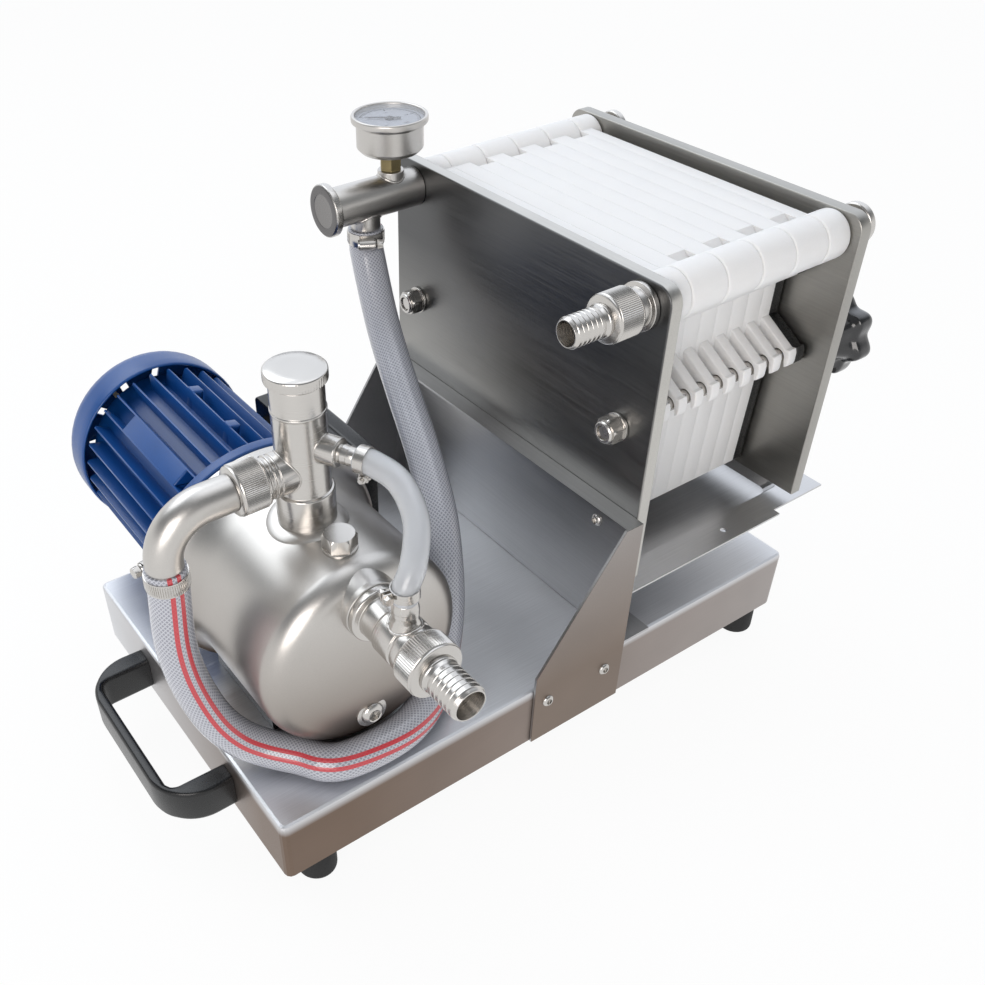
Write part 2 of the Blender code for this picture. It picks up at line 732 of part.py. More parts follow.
def inlet_manifold(steel):
    """Tube from the fixed plate, with a stub for the hose below and a boss for the gauge above."""
    start = PLATE_FRONT - GAP
    tube = [(0, 0), (MANIFOLD_RADIUS, 0), (MANIFOLD_RADIUS, MANIFOLD_LENGTH), (0, MANIFOLD_LENGTH)]
    manifold = new_object("inlet_manifold", turned(tube), steel, (start, FAR_CHANNEL_Y, CHANNEL_Z), AGAINST_X)
    stub = [(0, 0), (HOSE_STUB_RADIUS, 0), (HOSE_STUB_RADIUS, HOSE_STUB_DROP), (0, HOSE_STUB_DROP)]
    hose_x = PLATE_FRONT - MANIFOLD_HOSE_FROM_PLATE
    down = new_object("hose stub", turned(stub, 20), steel, (hose_x, FAR_CHANNEL_Y, CHANNEL_Z), DOWN)
    boolean(manifold, down, "UNION")
    boss = [(0, 0), (GAUGE_BOSS_RADIUS, 0), (GAUGE_BOSS_RADIUS, GAUGE_BOSS_RISE), (0, GAUGE_BOSS_RISE)]
    gauge_x = PLATE_FRONT - MANIFOLD_GAUGE_FROM_PLATE
    up = new_object("gauge boss", turned(boss, 20), steel, (gauge_x, FAR_CHANNEL_Y, CHANNEL_Z))
    boolean(manifold, up, "UNION")
    return manifold


def manifold_cap(steel):
    """Round cap on the free end of the manifold."""
    edge = 0.001
    profile = [(0, 0), (MANIFOLD_CAP_RADIUS - edge, 0), (MANIFOLD_CAP_RADIUS, edge)]
    profile += [(MANIFOLD_CAP_RADIUS, MANIFOLD_CAP_THICKNESS - edge)]
    profile += [(MANIFOLD_CAP_RADIUS - edge, MANIFOLD_CAP_THICKNESS), (0, MANIFOLD_CAP_THICKNESS)]
    x = PLATE_FRONT - 2 * GAP - MANIFOLD_LENGTH
    return new_object("manifold_cap", turned(profile), steel, (x, FAR_CHANNEL_Y, CHANNEL_Z), AGAINST_X)


def pressure_gauge(steel, brass):
    """Gauge that faces up, on a brass hexagon stem."""
    x = PLATE_FRONT - MANIFOLD_GAUGE_FROM_PLATE
    low = CHANNEL_Z + GAUGE_BOSS_RISE + GAP
    stem = new_object("gauge_stem", prism(hexagon(GAUGE_STEM_FLATS), GAUGE_STEM_HEIGHT), brass, (x, FAR_CHANNEL_Y, low))
    edge = 0.0015
    rim = GAUGE_HEIGHT - BEZEL_HEIGHT
    profile = [(0, 0), (GAUGE_RADIUS - 2 * edge, 0), (GAUGE_RADIUS, 2 * edge), (GAUGE_RADIUS, rim)]
    profile += [(BEZEL_RADIUS - edge, rim), (BEZEL_RADIUS, rim + edge), (BEZEL_RADIUS, GAUGE_HEIGHT - edge)]
    profile += [(BEZEL_RADIUS - edge, GAUGE_HEIGHT), (GAUGE_RECESS_RADIUS, GAUGE_HEIGHT)]
    profile += [(GAUGE_RECESS_RADIUS, GAUGE_HEIGHT - GAUGE_RECESS), (0, GAUGE_HEIGHT - GAUGE_RECESS)]
    place = (x, FAR_CHANNEL_Y, low + GAUGE_STEM_HEIGHT + GAP)
    return [stem, new_object("pressure_gauge", turned(profile, 28), steel, place)]


def hose_tail(name, place, rotation, radius, bore, length, steel):
    """Barbed tail, open at its mouth."""
    step = length * 0.16
    profile = [(0, 0), (radius, 0), (radius, length * 0.2)]
    for i in range(TAIL_BARBS):
        start = length * 0.2 + i * step
        profile += [(radius - TAIL_BARB_STEP, start + 0.0002), (radius, start + step * 0.85)]
    profile += [(radius - TAIL_BARB_STEP, length), (bore, length), (bore, length * 0.15), (0, length * 0.15)]
    return new_object(name, turned(profile, 16), steel, place, rotation)


def knurled_nut(name, place, rotation, radius, length, steel):
    """Union nut with rounded ends; the knurl is a surface finish."""
    edge = 0.0012
    profile = [(0, 0), (radius - edge, 0), (radius, edge), (radius, length - edge), (radius - edge, length), (0, length)]
    return new_object(name, turned(profile, 24), steel, place, rotation)


def outlet(steel):
    """Spigot, union nut and barbed tail on the near channel."""
    x = PLATE_FRONT - GAP
    length = SPIGOT_LENGTH
    profile = [(0, 0), (SPIGOT_COLLAR_RADIUS, 0), (SPIGOT_COLLAR_RADIUS, SPIGOT_COLLAR)]
    profile += [(SPIGOT_RADIUS, SPIGOT_COLLAR), (SPIGOT_RADIUS, length), (0, length)]
    spigot = new_object("outlet_spigot", turned(profile), steel, (x, NEAR_CHANNEL_Y, CHANNEL_Z), AGAINST_X)
    x -= length + GAP
    place = (x, NEAR_CHANNEL_Y, CHANNEL_Z)
    nut = knurled_nut("outlet_union_nut", place, AGAINST_X, OUTLET_NUT_RADIUS, OUTLET_NUT_LENGTH, steel)
    x -= OUTLET_NUT_LENGTH + GAP
    place = (x, NEAR_CHANNEL_Y, CHANNEL_Z)
    tail = hose_tail("outlet_tail", place, AGAINST_X, TAIL_RADIUS, TAIL_BORE, TAIL_LENGTH, steel)
    return [spigot, nut, tail]


def drip_tray(steel):
    """Shallow tray below the pack, hung on the support by a flange turned down."""
    start = SUPPORT_X + SUPPORT_SHEET + GAP
    high = TOP + DRIP_HEIGHT
    sheet = DRIP_SHEET
    outline = [(0, 0), (DRIP_FULL_LENGTH, 0), (DRIP_FULL_LENGTH, DRIP_NOTCH), (DRIP_LENGTH, DRIP_NOTCH)]
    far = TRAY_DEPTH
    outline += [(DRIP_LENGTH, far - DRIP_NOTCH), (DRIP_FULL_LENGTH, far - DRIP_NOTCH), (DRIP_FULL_LENGTH, far), (0, far)]
    pan_left = DRIP_RIM
    pan_right = DRIP_LENGTH - DRIP_RIM
    opening = rounded_rectangle(pan_left, pan_right, DRIP_RIM, far - DRIP_RIM, DRIP_CORNER, 2)
    rows = (DRIP_HOLE_INSET, far - DRIP_HOLE_INSET)
    holes = [circle((DRIP_FULL_LENGTH * 0.68, y), DRIP_HOLE_RADIUS, 10) for y in rows]
    rim = new_object("drip_tray", prism(outline, sheet, [opening, *holes]), steel, (start, 0, high - sheet))
    lap = sheet * 0.6
    low = high - DRIP_DEPTH

    def ring(inset, height):
        near = DRIP_RIM + inset
        loop = rounded_rectangle(pan_left + inset, pan_right - inset, near, far - near, DRIP_CORNER * 1.25, 3)
        return [(x + start, y, height) for x, y in loop]

    loops = [ring(DRIP_SLOPE + sheet, low), ring(sheet, high - sheet * 0.2), ring(-lap, high - sheet * 0.2)]
    loops += [ring(-lap, high - sheet * 0.8), ring(DRIP_SLOPE - lap, low - sheet)]
    pan = new_object("drip pan", loft(loops), steel)
    boolean(rim, pan, "UNION")
    flange = box((sheet, far - 2 * DRIP_RIM, DRIP_FLANGE))
    place = (start + GAP, DRIP_RIM, high - sheet * 0.5 - DRIP_FLANGE)
    hanger = new_object("drip flange", flange, steel, place)
    boolean(rim, hanger, "UNION")
    return rim


# Pump and its fittings

def flare(extra=0.0):
    """Profile of the drum's flare towards its rim, from the drum's front edge; extra is added all round."""
    depth = PUMP_BACK - PUMP_FRONT
    points = []
    for i in range(5):
        turn = math.radians(22.5 * i)
        radius = PUMP_RADIUS + (PUMP_RIM_RADIUS - PUMP_RADIUS) * (1 - math.cos(turn))
        points.append((radius + extra, depth - PUMP_FLARE * (1 - math.sin(turn)) - extra))
    return points


def pump_casing(steel):
    """Drum with a domed face, a port boss for the suction fitting and its clamped rim."""
    shoulder = PUMP_SHOULDER
    flat = PUMP_RADIUS - shoulder
    depth = PUMP_BACK - PUMP_FRONT
    profile = [(0, -shoulder - PUMP_DOME), (flat * 0.5, -shoulder - PUMP_DOME * 0.8), (flat, -shoulder)]
    for i in range(1, 6):
        turn = math.radians(18 * i)
        profile.append((flat + shoulder * math.sin(turn), -shoulder * math.cos(turn)))
    profile += flare()
    profile += [(PUMP_RIM_RADIUS, depth + PUMP_RIM), (0, depth + PUMP_RIM)]
    casing = new_object("pump_casing", turned(profile, 40), steel, (PUMP_X, PUMP_FRONT, PUMP_Z), ALONG_Y)
    port = [(0, 0), (PUMP_PORT_RADIUS, 0), (PUMP_PORT_RADIUS, 0.03), (0, 0.03)]
    boss = new_object("pump port", turned(port, 24), steel, (PUMP_X, SUCTION_FACE, TOP + SUCTION_Z), ALONG_Y)
    return boolean(casing, boss, "UNION")


def pump_foot(plastic):
    """Black foot under the drum, hollowed to the round pieces that it carries."""
    place = (PUMP_X - PUMP_FOOT_LENGTH / 2, PUMP_FOOT_Y, TOP + GAP)
    block = box((PUMP_FOOT_LENGTH, PUMP_FOOT_DEPTH, PUMP_FOOT_HEIGHT))
    base = new_object("pump_foot", block, plastic, place)
    ahead = -PUMP_FRONT
    behind = PUMP_BACK + PUMP_RIM
    profile = [(0, ahead), (PUMP_RADIUS + GAP, ahead), *flare(GAP), (PUMP_RIM_RADIUS + GAP, behind), (0, behind)]
    seat = new_object("foot seat", turned(profile, 40), plastic, (PUMP_X, PUMP_FRONT, PUMP_Z), ALONG_Y)
    return boolean(base, seat, "DIFFERENCE")


def valve_column(steel):
    """Upright fitting on the pump with two branches, and its knurled cap."""
    base = COLUMN_BASE_HEIGHT
    body = base + COLUMN_HEIGHT
    neck = body + COLUMN_NECK_HEIGHT
    seat = -0.004
    profile = [(0, seat), (COLUMN_BASE_RADIUS, seat), (COLUMN_BASE_RADIUS, base), (COLUMN_RADIUS, base)]
    profile += [(COLUMN_RADIUS, body), (COLUMN_NECK_RADIUS, body), (COLUMN_NECK_RADIUS, neck), (0, neck)]
    column = new_object("valve_column", turned(profile, 24), steel, (PUMP_X, COLUMN_Y, COLUMN_FOOT))
    branch = [(0, 0), (BRANCH_RADIUS, 0), (BRANCH_RADIUS, BRANCH_LENGTH), (0, BRANCH_LENGTH)]
    side = new_object("column branch", turned(branch, 20), steel, (PUMP_X, COLUMN_Y, COLUMN_FOOT + BRANCH_RISE), AGAINST_X)
    boolean(column, side, "UNION")
    boss = [(0, 0), (BYPASS_BOSS_RADIUS, 0), (BYPASS_BOSS_RADIUS, BYPASS_BOSS_LENGTH)]
    boss += [(BYPASS_NIPPLE_RADIUS, BYPASS_BOSS_LENGTH), (BYPASS_NIPPLE_RADIUS, BYPASS_NIPPLE_LENGTH)]
    boss += [(0, BYPASS_NIPPLE_LENGTH)]
    turn = (0, math.pi / 2, BYPASS_TURN)
    nipple = new_object("column nipple", turned(boss, 16), steel, (PUMP_X, COLUMN_Y, COLUMN_FOOT + BYPASS_RISE), turn)
    boolean(column, nipple, "UNION")
    drum = [(0, -0.1), (PUMP_RADIUS + GAP, -0.1), (PUMP_RADIUS + GAP, 0.1), (0, 0.1)]
    place = (PUMP_X, COLUMN_Y, PUMP_Z)
    seat_cut = new_object("column seat", turned(drum, 40), steel, place, ALONG_Y)
    boolean(column, seat_cut, "DIFFERENCE")
    edge = 0.0012
    cap = [(0, 0), (CAP_RADIUS - edge, 0), (CAP_RADIUS, edge), (CAP_RADIUS, CAP_HEIGHT - edge)]
    cap += [(CAP_RADIUS - edge, CAP_HEIGHT), (0, CAP_HEIGHT + 0.0008)]
    top = COLUMN_FOOT + neck + GAP
    return [column, new_object("valve_cap", turned(cap, 28), steel, (PUMP_X, COLUMN_Y, top))]


def swept_tube(name, points, radius, steel, sides=3):
    """Tube along a row of points, with filled ends."""
    curve = bpy.data.curves.new(name, "CURVE")
    curve.dimensions = "3D"
    curve.bevel_depth = radius
    curve.bevel_resolution = sides
    curve.use_fill_caps = True
    spline = curve.splines.new("POLY")
    spline.points.add(len(points) - 1)
    for target, point in zip(spline.points, points):
        target.co = (*point, 1.0)
    curve.materials.append(steel)
    tube = bpy.data.objects.new(name, curve)
    bpy.context.scene.collection.objects.link(tube)
    return tube


def elbow(steel):
    """Union nut and bent pipe on the column's branch."""
    height = COLUMN_FOOT + BRANCH_RISE
    x = PUMP_X - BRANCH_LENGTH - GAP
    nut = knurled_nut("elbow_union_nut", (x, COLUMN_Y, height), AGAINST_X, UNION_RADIUS, UNION_LENGTH, steel)
    x -= UNION_LENGTH + GAP
    bend_x = x - ELBOW_RUN
    points = [(x, height)]
    for i in range(7):
        turn = math.radians(90 + 15 * i)
        points.append((bend_x + ELBOW_BEND * math.cos(turn), height - ELBOW_BEND + ELBOW_BEND * math.sin(turn)))
    points.append((bend_x - ELBOW_BEND, height - ELBOW_BEND - ELBOW_DROP))
    path = [(px, COLUMN_Y, pz) for px, pz in points]
    return [nut, swept_tube("elbow_pipe", path, ELBOW_RADIUS, steel, 4)]


def suction(steel):
    """Tee with a collar, union nut and barbed tail on the pump's face."""
    face = SUCTION_FACE - GAP
    collar = SUCTION_COLLAR
    pipe = collar + SUCTION_PIPE_LENGTH
    tee = pipe + TEE_LENGTH
    profile = [(0, 0), (SUCTION_COLLAR_RADIUS, 0), (SUCTION_COLLAR_RADIUS, collar)]
    profile += [(SUCTION_PIPE_RADIUS, collar), (SUCTION_PIPE_RADIUS, pipe), (TEE_RADIUS, pipe), (TEE_RADIUS, tee)]
    profile += [(0, tee)]
    body = new_object("suction_tee", turned(profile), steel, (PUMP_X, face, SUCTION_Z + TOP), AGAINST_Y)
    branch = [(0, 0), (TEE_BRANCH_FOOT, 0), (TEE_BRANCH_FOOT, TEE_RADIUS * 0.8), (TEE_BRANCH_RADIUS, TEE_RADIUS + 0.005)]
    branch += [(TEE_BRANCH_RADIUS, TEE_BRANCH_HEIGHT), (0, TEE_BRANCH_HEIGHT)]
    branch_y = face - pipe - TEE_LENGTH / 2
    up = new_object("tee branch", turned(branch, 16), steel, (PUMP_X, branch_y, SUCTION_Z + TOP))
    boolean(body, up, "UNION")
    y = face - tee - GAP
    nut = knurled_nut("suction_union_nut", (PUMP_X, y, SUCTION_Z + TOP), AGAINST_Y, SUCTION_NUT_RADIUS, SUCTION_NUT_LENGTH, steel)
    y -= SUCTION_NUT_LENGTH + GAP
    place = (PUMP_X, y, SUCTION_Z + TOP)
    tail = hose_tail("suction_tail", place, AGAINST_Y, SUCTION_TAIL_RADIUS, SUCTION_TAIL_BORE, SUCTION_TAIL_LENGTH, steel)
    return [body, nut, tail]


# Motor

def motor_frame(blue):
    """Round frame with its flange, cooling fins, a flat boss and the lugs that hold the cowl."""
    length = FLANGE_THICKNESS + FRAME_LENGTH
    bearing = SHAFT_RADIUS + SLIDE_FIT
    depth = length - SHAFT_SEAT - 0.001
    profile = [(0, 0), (FLANGE_RADIUS, 0), (FLANGE_RADIUS, FLANGE_THICKNESS), (FRAME_RADIUS, FLANGE_THICKNESS)]
    profile += [(FRAME_RADIUS, length), (bearing, length), (bearing, depth), (0, depth)]
    place = (PUMP_X, FLANGE_FRONT, PUMP_Z)
    frame = new_object("motor_frame", turned(profile, 40), blue, place, ALONG_Y)
    root = FRAME_RADIUS - 0.002
    half = math.degrees(FIN_THICKNESS / 2 / FRAME_RADIUS)
    outline = []
    for i in range(FIN_COUNT):
        turn = 360 * (i + 0.5) / FIN_COUNT + FIN_TURN
        outline += arc((0, 0), root, turn - half, turn - half, 1)[:1]
        outline += arc((0, 0), FIN_RADIUS, turn - half * 0.6, turn + half * 0.6, 1)
        outline += arc((0, 0), root, turn + half, turn + half, 1)[:1]
    start = FLANGE_THICKNESS * 0.5
    ribs = new_object("motor fins", prism(outline, length - start - COWL_OVERLAP - FIN_SHORT), blue, place, ALONG_Y)
    ribs.location.y += start
    boolean(frame, ribs, "UNION")
    height = FIN_RADIUS * math.cos(math.pi / FIN_COUNT) - root
    slab = new_object("motor boss", box((height, BOSS_WIDTH, BOSS_LENGTH)), blue, place, ALONG_Y)
    turn = math.radians(360 * BOSS_GAP_NUMBER / FIN_COUNT + FIN_TURN)
    slab.data.transform(Matrix.Rotation(turn, 4, "Z") @ Matrix.Translation((root, -BOSS_WIDTH / 2, BOSS_START)))
    boolean(frame, slab, "UNION")
    inside = COWL_RADIUS - COWL_SHEET - GAP
    reach = math.sqrt(inside ** 2 - (LUG_WIDTH / 2) ** 2)
    for i in range(LUG_COUNT):
        turn = math.radians(360 / LUG_COUNT * (i + 0.5))
        lug = new_object(f"cowl lug {i + 1}", box((reach - root, LUG_WIDTH, LUG_LENGTH)), blue)
        spin = Matrix.Rotation(turn, 4, "Z") @ Matrix.Translation((root, -LUG_WIDTH / 2, length - LUG_LENGTH - 0.001))
        lug.data.transform(spin)
        lug.location = place
        lug.rotation_euler = ALONG_Y
        boolean(frame, lug, "UNION")
    return frame


def fan_cowl(blue):
    """Pressed cowl, open towards the frame, with a slotted back."""
    inner = COWL_RADIUS - COWL_SHEET
    bend = COWL_BEND
    back = COWL_LENGTH
    profile = [(COWL_RADIUS, 0), *arc((COWL_RADIUS - bend, back - bend), bend, 0, 90, 4)]
    profile += [(0, back), (0, back - COWL_SHEET)]
    bend -= COWL_SHEET
    profile += [*arc((inner - bend, back - COWL_SHEET - bend), bend, 90, 0, 4), (inner, 0)]
    cowl = new_object("fan_cowl", turned(profile, 40, True), blue, (PUMP_X, COWL_FRONT, PUMP_Z), ALONG_Y)
    length = COWL_SLOT_END - COWL_SLOT_START
    for i in range(COWL_SLOTS):
        turn = 2 * math.pi * i / COWL_SLOTS
        outline = rounded_rectangle(0, length, -COWL_SLOT / 2, COWL_SLOT / 2, COWL_SLOT / 3, 1)
        slot = new_object(f"cowl slot {i + 1}", prism(outline, 0.01), blue)
        slot.data.transform(Matrix.Rotation(turn, 4, "Z") @ Matrix.Translation((COWL_SLOT_START, 0, back - 0.006)))
        slot.location = (PUMP_X, COWL_FRONT, PUMP_Z)
        slot.rotation_euler = ALONG_Y
        boolean(cowl, slot, "DIFFERENCE")
    return cowl


def cooling_fan(plastic):
    """Fan with the end of the motor shaft; its origin is on the shaft's axis."""
    inside = -FAN_GAP - SHAFT_SEAT
    hub = [(0, inside), (SHAFT_RADIUS, inside), (SHAFT_RADIUS, 0), (FAN_HUB, 0)]
    hub += [(FAN_HUB, FAN_LENGTH * 0.8), (SHAFT_RADIUS, FAN_LENGTH * 0.8)]
    hub += [(SHAFT_RADIUS, FAN_LENGTH * 0.9), (0, FAN_LENGTH * 0.9)]
    place = (PUMP_X, FRAME_FRONT + FRAME_LENGTH + FAN_GAP, PUMP_Z)
    fan = new_object("cooling_fan", turned(hub, 14), plastic, place, ALONG_Y)
    for i in range(FAN_BLADES):
        turn = 2 * math.pi * i / FAN_BLADES
        blade = new_object(f"fan blade {i + 1}", box((FAN_RADIUS - FAN_HUB + 0.002, FAN_BLADE, FAN_LENGTH)), plastic)
        blade.data.transform(Matrix.Rotation(turn, 4, "Z") @ Matrix.Translation((FAN_HUB - 0.002, -FAN_BLADE / 2, 0)))
        blade.location = place
        blade.rotation_euler = ALONG_Y
        boolean(fan, blade, "UNION")
    return fan


def terminal_box(plastic):
    """Box for the motor's wiring, seated on the side of the frame that faces the press."""
    half = BOX_HEIGHT / 2
    outline = rounded_rectangle(0, BOX_LENGTH, -half, half, BOX_CORNER, 3)
    data = stand_in_yz(prism(outline, BOX_REACH - BOX_BASE))
    near_end = FRAME_FRONT + BOX_FROM_FLANGE
    block = new_object("terminal_box", data, plastic, (PUMP_X + BOX_BASE, near_end, PUMP_Z))
    lower = BOX_BASE / 2
    pad = box((BOX_BASE - lower + BOX_CORNER, BOX_LENGTH - 2 * BOX_PAD_INSET, BOX_PAD_HEIGHT))
    place = (PUMP_X + lower, near_end + BOX_PAD_INSET, PUMP_Z - BOX_PAD_HEIGHT / 2)
    boolean(block, new_object("box pad", pad, plastic, place), "UNION")
    reach = FIN_RADIUS + GAP
    seat = turned([(0, -reach), (reach, -reach), (reach, BOX_LENGTH + reach), (0, BOX_LENGTH + reach)], 40)
    cutter = new_object("box seat", seat, plastic, (PUMP_X, near_end, PUMP_Z), ALONG_Y)
    boolean(block, cutter, "DIFFERENCE")
    return bevel(block, 0.002, 2)


# Hoses

def smooth_route(points, step):
    """Points about a step apart on a Catmull-Rom curve; the first and last stretch stay straight."""
    corners = [Vector(point) for point in points]
    fine = []
    for a, b, c, d in zip(corners, corners[1:], corners[2:], corners[3:]):
        for i in range(24):
            t = i / 24
            curve = (b * 2 + (c - a) * t + (a * 2 - b * 5 + c * 4 - d) * t ** 2 + (b * 3 - a - c * 3 + d) * t ** 3)
            fine.append(curve / 2)
    fine.append(corners[-2])
    lengths = [0.0]
    for a, b in zip(fine, fine[1:]):
        lengths.append(lengths[-1] + (b - a).length)
    count = max(2, round(lengths[-1] / step))
    route = [corners[0]]
    place = 0
    for i in range(count + 1):
        target = lengths[-1] * i / count
        while place < len(fine) - 2 and lengths[place + 1] < target:
            place += 1
        share = (target - lengths[place]) / (lengths[place + 1] - lengths[place])
        route.append(fine[place].lerp(fine[place + 1], share))
    return route + [corners[-1]]


def main_hose(clear):
    """Pressure hose from the elbow, round the front of the pump and up to the manifold."""
    x, y, z = ELBOW_END
    start = [(x, y, z - GAP), (x, y, z - 0.014)]
    end_x = PLATE_FRONT - MANIFOLD_HOSE_FROM_PLATE
    end_z = CHANNEL_Z - HOSE_STUB_DROP - GAP
    end = [(end_x, FAR_CHANNEL_Y, end_z - 0.016), (end_x, FAR_CHANNEL_Y, end_z)]
    between = [(px, py, TOP + pz) for px, py, pz in MAIN_ROUTE]
    return swept_tube("main_hose", smooth_route(start + between + end, HOSE_STEP), HOSE_RADIUS, clear, 2)


def bypass_hose(clear):
    """Clear hose from the column's nipple to the top of the suction tee."""
    reach = BYPASS_NIPPLE_LENGTH + GAP
    across = Vector((math.cos(BYPASS_TURN), math.sin(BYPASS_TURN), 0))
    start = Vector((PUMP_X, COLUMN_Y, COLUMN_FOOT + BYPASS_RISE)) + across * reach
    branch_y = SUCTION_FACE - GAP - SUCTION_COLLAR - SUCTION_PIPE_LENGTH - TEE_LENGTH / 2
    end = Vector((PUMP_X, branch_y, TOP + SUCTION_Z + TEE_BRANCH_HEIGHT + GAP))
    between = [(px, py, TOP + pz) for px, py, pz in BYPASS_ROUTE]
    route = [start, start + across * 0.008, *between, end + Vector((0, 0, 0.008)), end]
    return swept_tube("bypass_hose", smooth_route(route, BYPASS_STEP), BYPASS_RADIUS, clear, 2)


def stand_on_origin():
    """Move the whole model so that its origin is at the bottom centre of its box, hoses left out."""
    graph = bpy.context.evaluated_depsgraph_get()
    corners = []
    for piece in bpy.data.objects:
        if piece.hide_render or piece.type == "CURVE" and piece.name.endswith("hose"):
            continue
        solid = piece.evaluated_get(graph).to_mesh()
        corners += [piece.matrix_world @ vertex.co for vertex in solid.vertices]
    middle_x = (min(c.x for c in corners) + max(c.x for c in corners)) / 2
    middle_y = (min(c.y for c in corners) + max(c.y for c in corners)) / 2
    for piece in bpy.data.objects:
        if piece.parent is None:
            piece.location.x -= middle_x
            piece.location.y -= middle_y


def main():
    """Build every piece and stand the model on its origin."""
    clear_scene()
    stainless = material("brushed stainless", (0.56, 0.55, 0.53), 0.32, 1.0)
    fitting = material("satin stainless", (0.62, 0.60, 0.57), 0.25, 1.0)
    white = material("white plastic", (0.82, 0.84, 0.84), 0.45)
    black = material("black plastic", (0.02, 0.02, 0.022), 0.45)
    rubber = material("black rubber", (0.018, 0.018, 0.018), 0.75)
    brass = material("brass", (0.55, 0.40, 0.16), 0.3, 1.0)
    blue = material("blue paint", (0.015, 0.06, 0.28), 0.35)
    cream = material("cream plastic", (0.6, 0.55, 0.42), 0.5)
    clear = material("clear hose", (0.62, 0.65, 0.68), 0.2)

    base_tray(stainless)
    feet(rubber)
    carry_handle(black)
    press_support(stainless)
    steel_plate("front_plate", PLATE_FRONT, stainless)
    steel_plate("rear_plate", REAR_FRONT, stainless)
    for index in range(PLATE_COUNT):
        filter_plate(index, white)
    end_plate(black)
    tie_rods(stainless)
    lock_nut("lock_nut_near", NEAR_ROD_Y, stainless)
    lock_nut("lock_nut_far", FAR_ROD_Y, stainless)
    clamp_knob("clamp_knob_near", NEAR_ROD_Y, black)
    clamp_knob("clamp_knob_far", FAR_ROD_Y, black)
    channel_plug("channel_plug_near", NEAR_CHANNEL_Y, fitting)
    channel_plug("channel_plug_far", FAR_CHANNEL_Y, fitting)
    inlet_manifold(fitting)
    manifold_cap(fitting)
    pressure_gauge(stainless, brass)
    outlet(fitting)
    drip_tray(stainless)
    pump_casing(stainless)
    pump_foot(black)
    valve_column(fitting)
    elbow(fitting)
    suction(fitting)
    motor_frame(blue)
    fan_cowl(blue)
    cooling_fan(cream)
    terminal_box(black)
    main_hose(clear)
    bypass_hose(clear)
    stand_on_origin()


if __name__ == "__main__":
    main()
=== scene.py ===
"""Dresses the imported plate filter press: finishes, fine fittings, hoses, gauge and studio."""

import math

import bmesh
import bpy
import numpy as np
from mathutils import Matrix, Vector


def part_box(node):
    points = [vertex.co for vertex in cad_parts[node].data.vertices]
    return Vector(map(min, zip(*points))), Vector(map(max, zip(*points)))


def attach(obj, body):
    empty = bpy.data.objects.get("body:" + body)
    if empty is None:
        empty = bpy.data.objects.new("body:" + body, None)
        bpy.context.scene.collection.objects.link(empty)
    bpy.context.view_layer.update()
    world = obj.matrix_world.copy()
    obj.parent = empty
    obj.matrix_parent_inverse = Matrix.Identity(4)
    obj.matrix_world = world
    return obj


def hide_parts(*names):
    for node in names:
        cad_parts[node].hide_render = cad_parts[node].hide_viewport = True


bl_info = {
    "name": "Plate filter press",
    "version": (1, 0, 0),
    "blender": (4, 5, 0),
    "location": "3D View > Sidebar > Filter press",
    "description": "Adds the finishes, fittings, hoses, gauge and studio of a small plate filter press",
    "category": "Object",
}

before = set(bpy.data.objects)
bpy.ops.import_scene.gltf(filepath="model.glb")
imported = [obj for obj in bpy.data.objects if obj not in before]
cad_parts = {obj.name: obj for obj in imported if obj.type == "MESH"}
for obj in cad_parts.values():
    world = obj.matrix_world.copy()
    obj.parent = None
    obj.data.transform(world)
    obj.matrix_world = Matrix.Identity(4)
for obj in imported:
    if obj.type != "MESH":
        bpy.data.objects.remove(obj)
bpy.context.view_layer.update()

# Bodies
MACHINE = "machine"
SLIDING = "sliding_plate"

GAP = 0.0003  # clearance between pieces that seat on each other

# Directions: left is the pump end, near is the side of the hose tails
LEFT, RIGHT = (-1, 0, 0), (1, 0, 0)
NEAR, FAR = (0, -1, 0), (0, 1, 0)
DOWN, UP = (0, 0, -1), (0, 0, 1)

# Places of the part, in metres, X from the pump end, Y to the far side, Z up, measured from the tray's near corner
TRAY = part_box("base_tray")[0]
TRAY_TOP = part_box("base_tray")[1].z
MIDDLE_Y = TRAY.y + 0.144
SUPPORT_NEAR, SUPPORT_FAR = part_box("press_support")
PUMP_X = TRAY.x + 0.085
PUMP_Z = TRAY_TOP + 0.0845
PUMP_FRONT = TRAY.y + 0.038
DRUM_RADIUS = 0.071
COLUMN_Y = TRAY.y + 0.089
COLUMN_FOOT = PUMP_Z + 0.0713
BRANCH_Z = COLUMN_FOOT + 0.0385
BYPASS_Z = COLUMN_FOOT + 0.0545
BYPASS_TURN = math.radians(-63)
SUCTION_Z = TRAY_TOP + 0.131
SUCTION_Y = TRAY.y + 0.0152
FLANGE_FRONT = TRAY.y + 0.1563
COWL_FRONT = TRAY.y + 0.3163
PLATE_X = TRAY.x + 0.2888
PACK_X = TRAY.x + 0.2991
PLATE_PITCH = 0.0155
REAR_FRONT = TRAY.x + 0.4602
REAR_BACK = TRAY.x + 0.4702
NEAR_CHANNEL_Y = TRAY.y + 0.027
FAR_CHANNEL_Y = TRAY.y + 0.261
CHANNEL_Z = TRAY_TOP + 0.2605
NEAR_ROD_Y = TRAY.y + 0.0325
FAR_ROD_Y = TRAY.y + 0.2555
ROD_Z = TRAY_TOP + 0.172
HOSE_STUB_X = PLATE_X - 0.044
GAUGE_X = PLATE_X - 0.021
GAUGE_Z = CHANNEL_Z + 0.0306

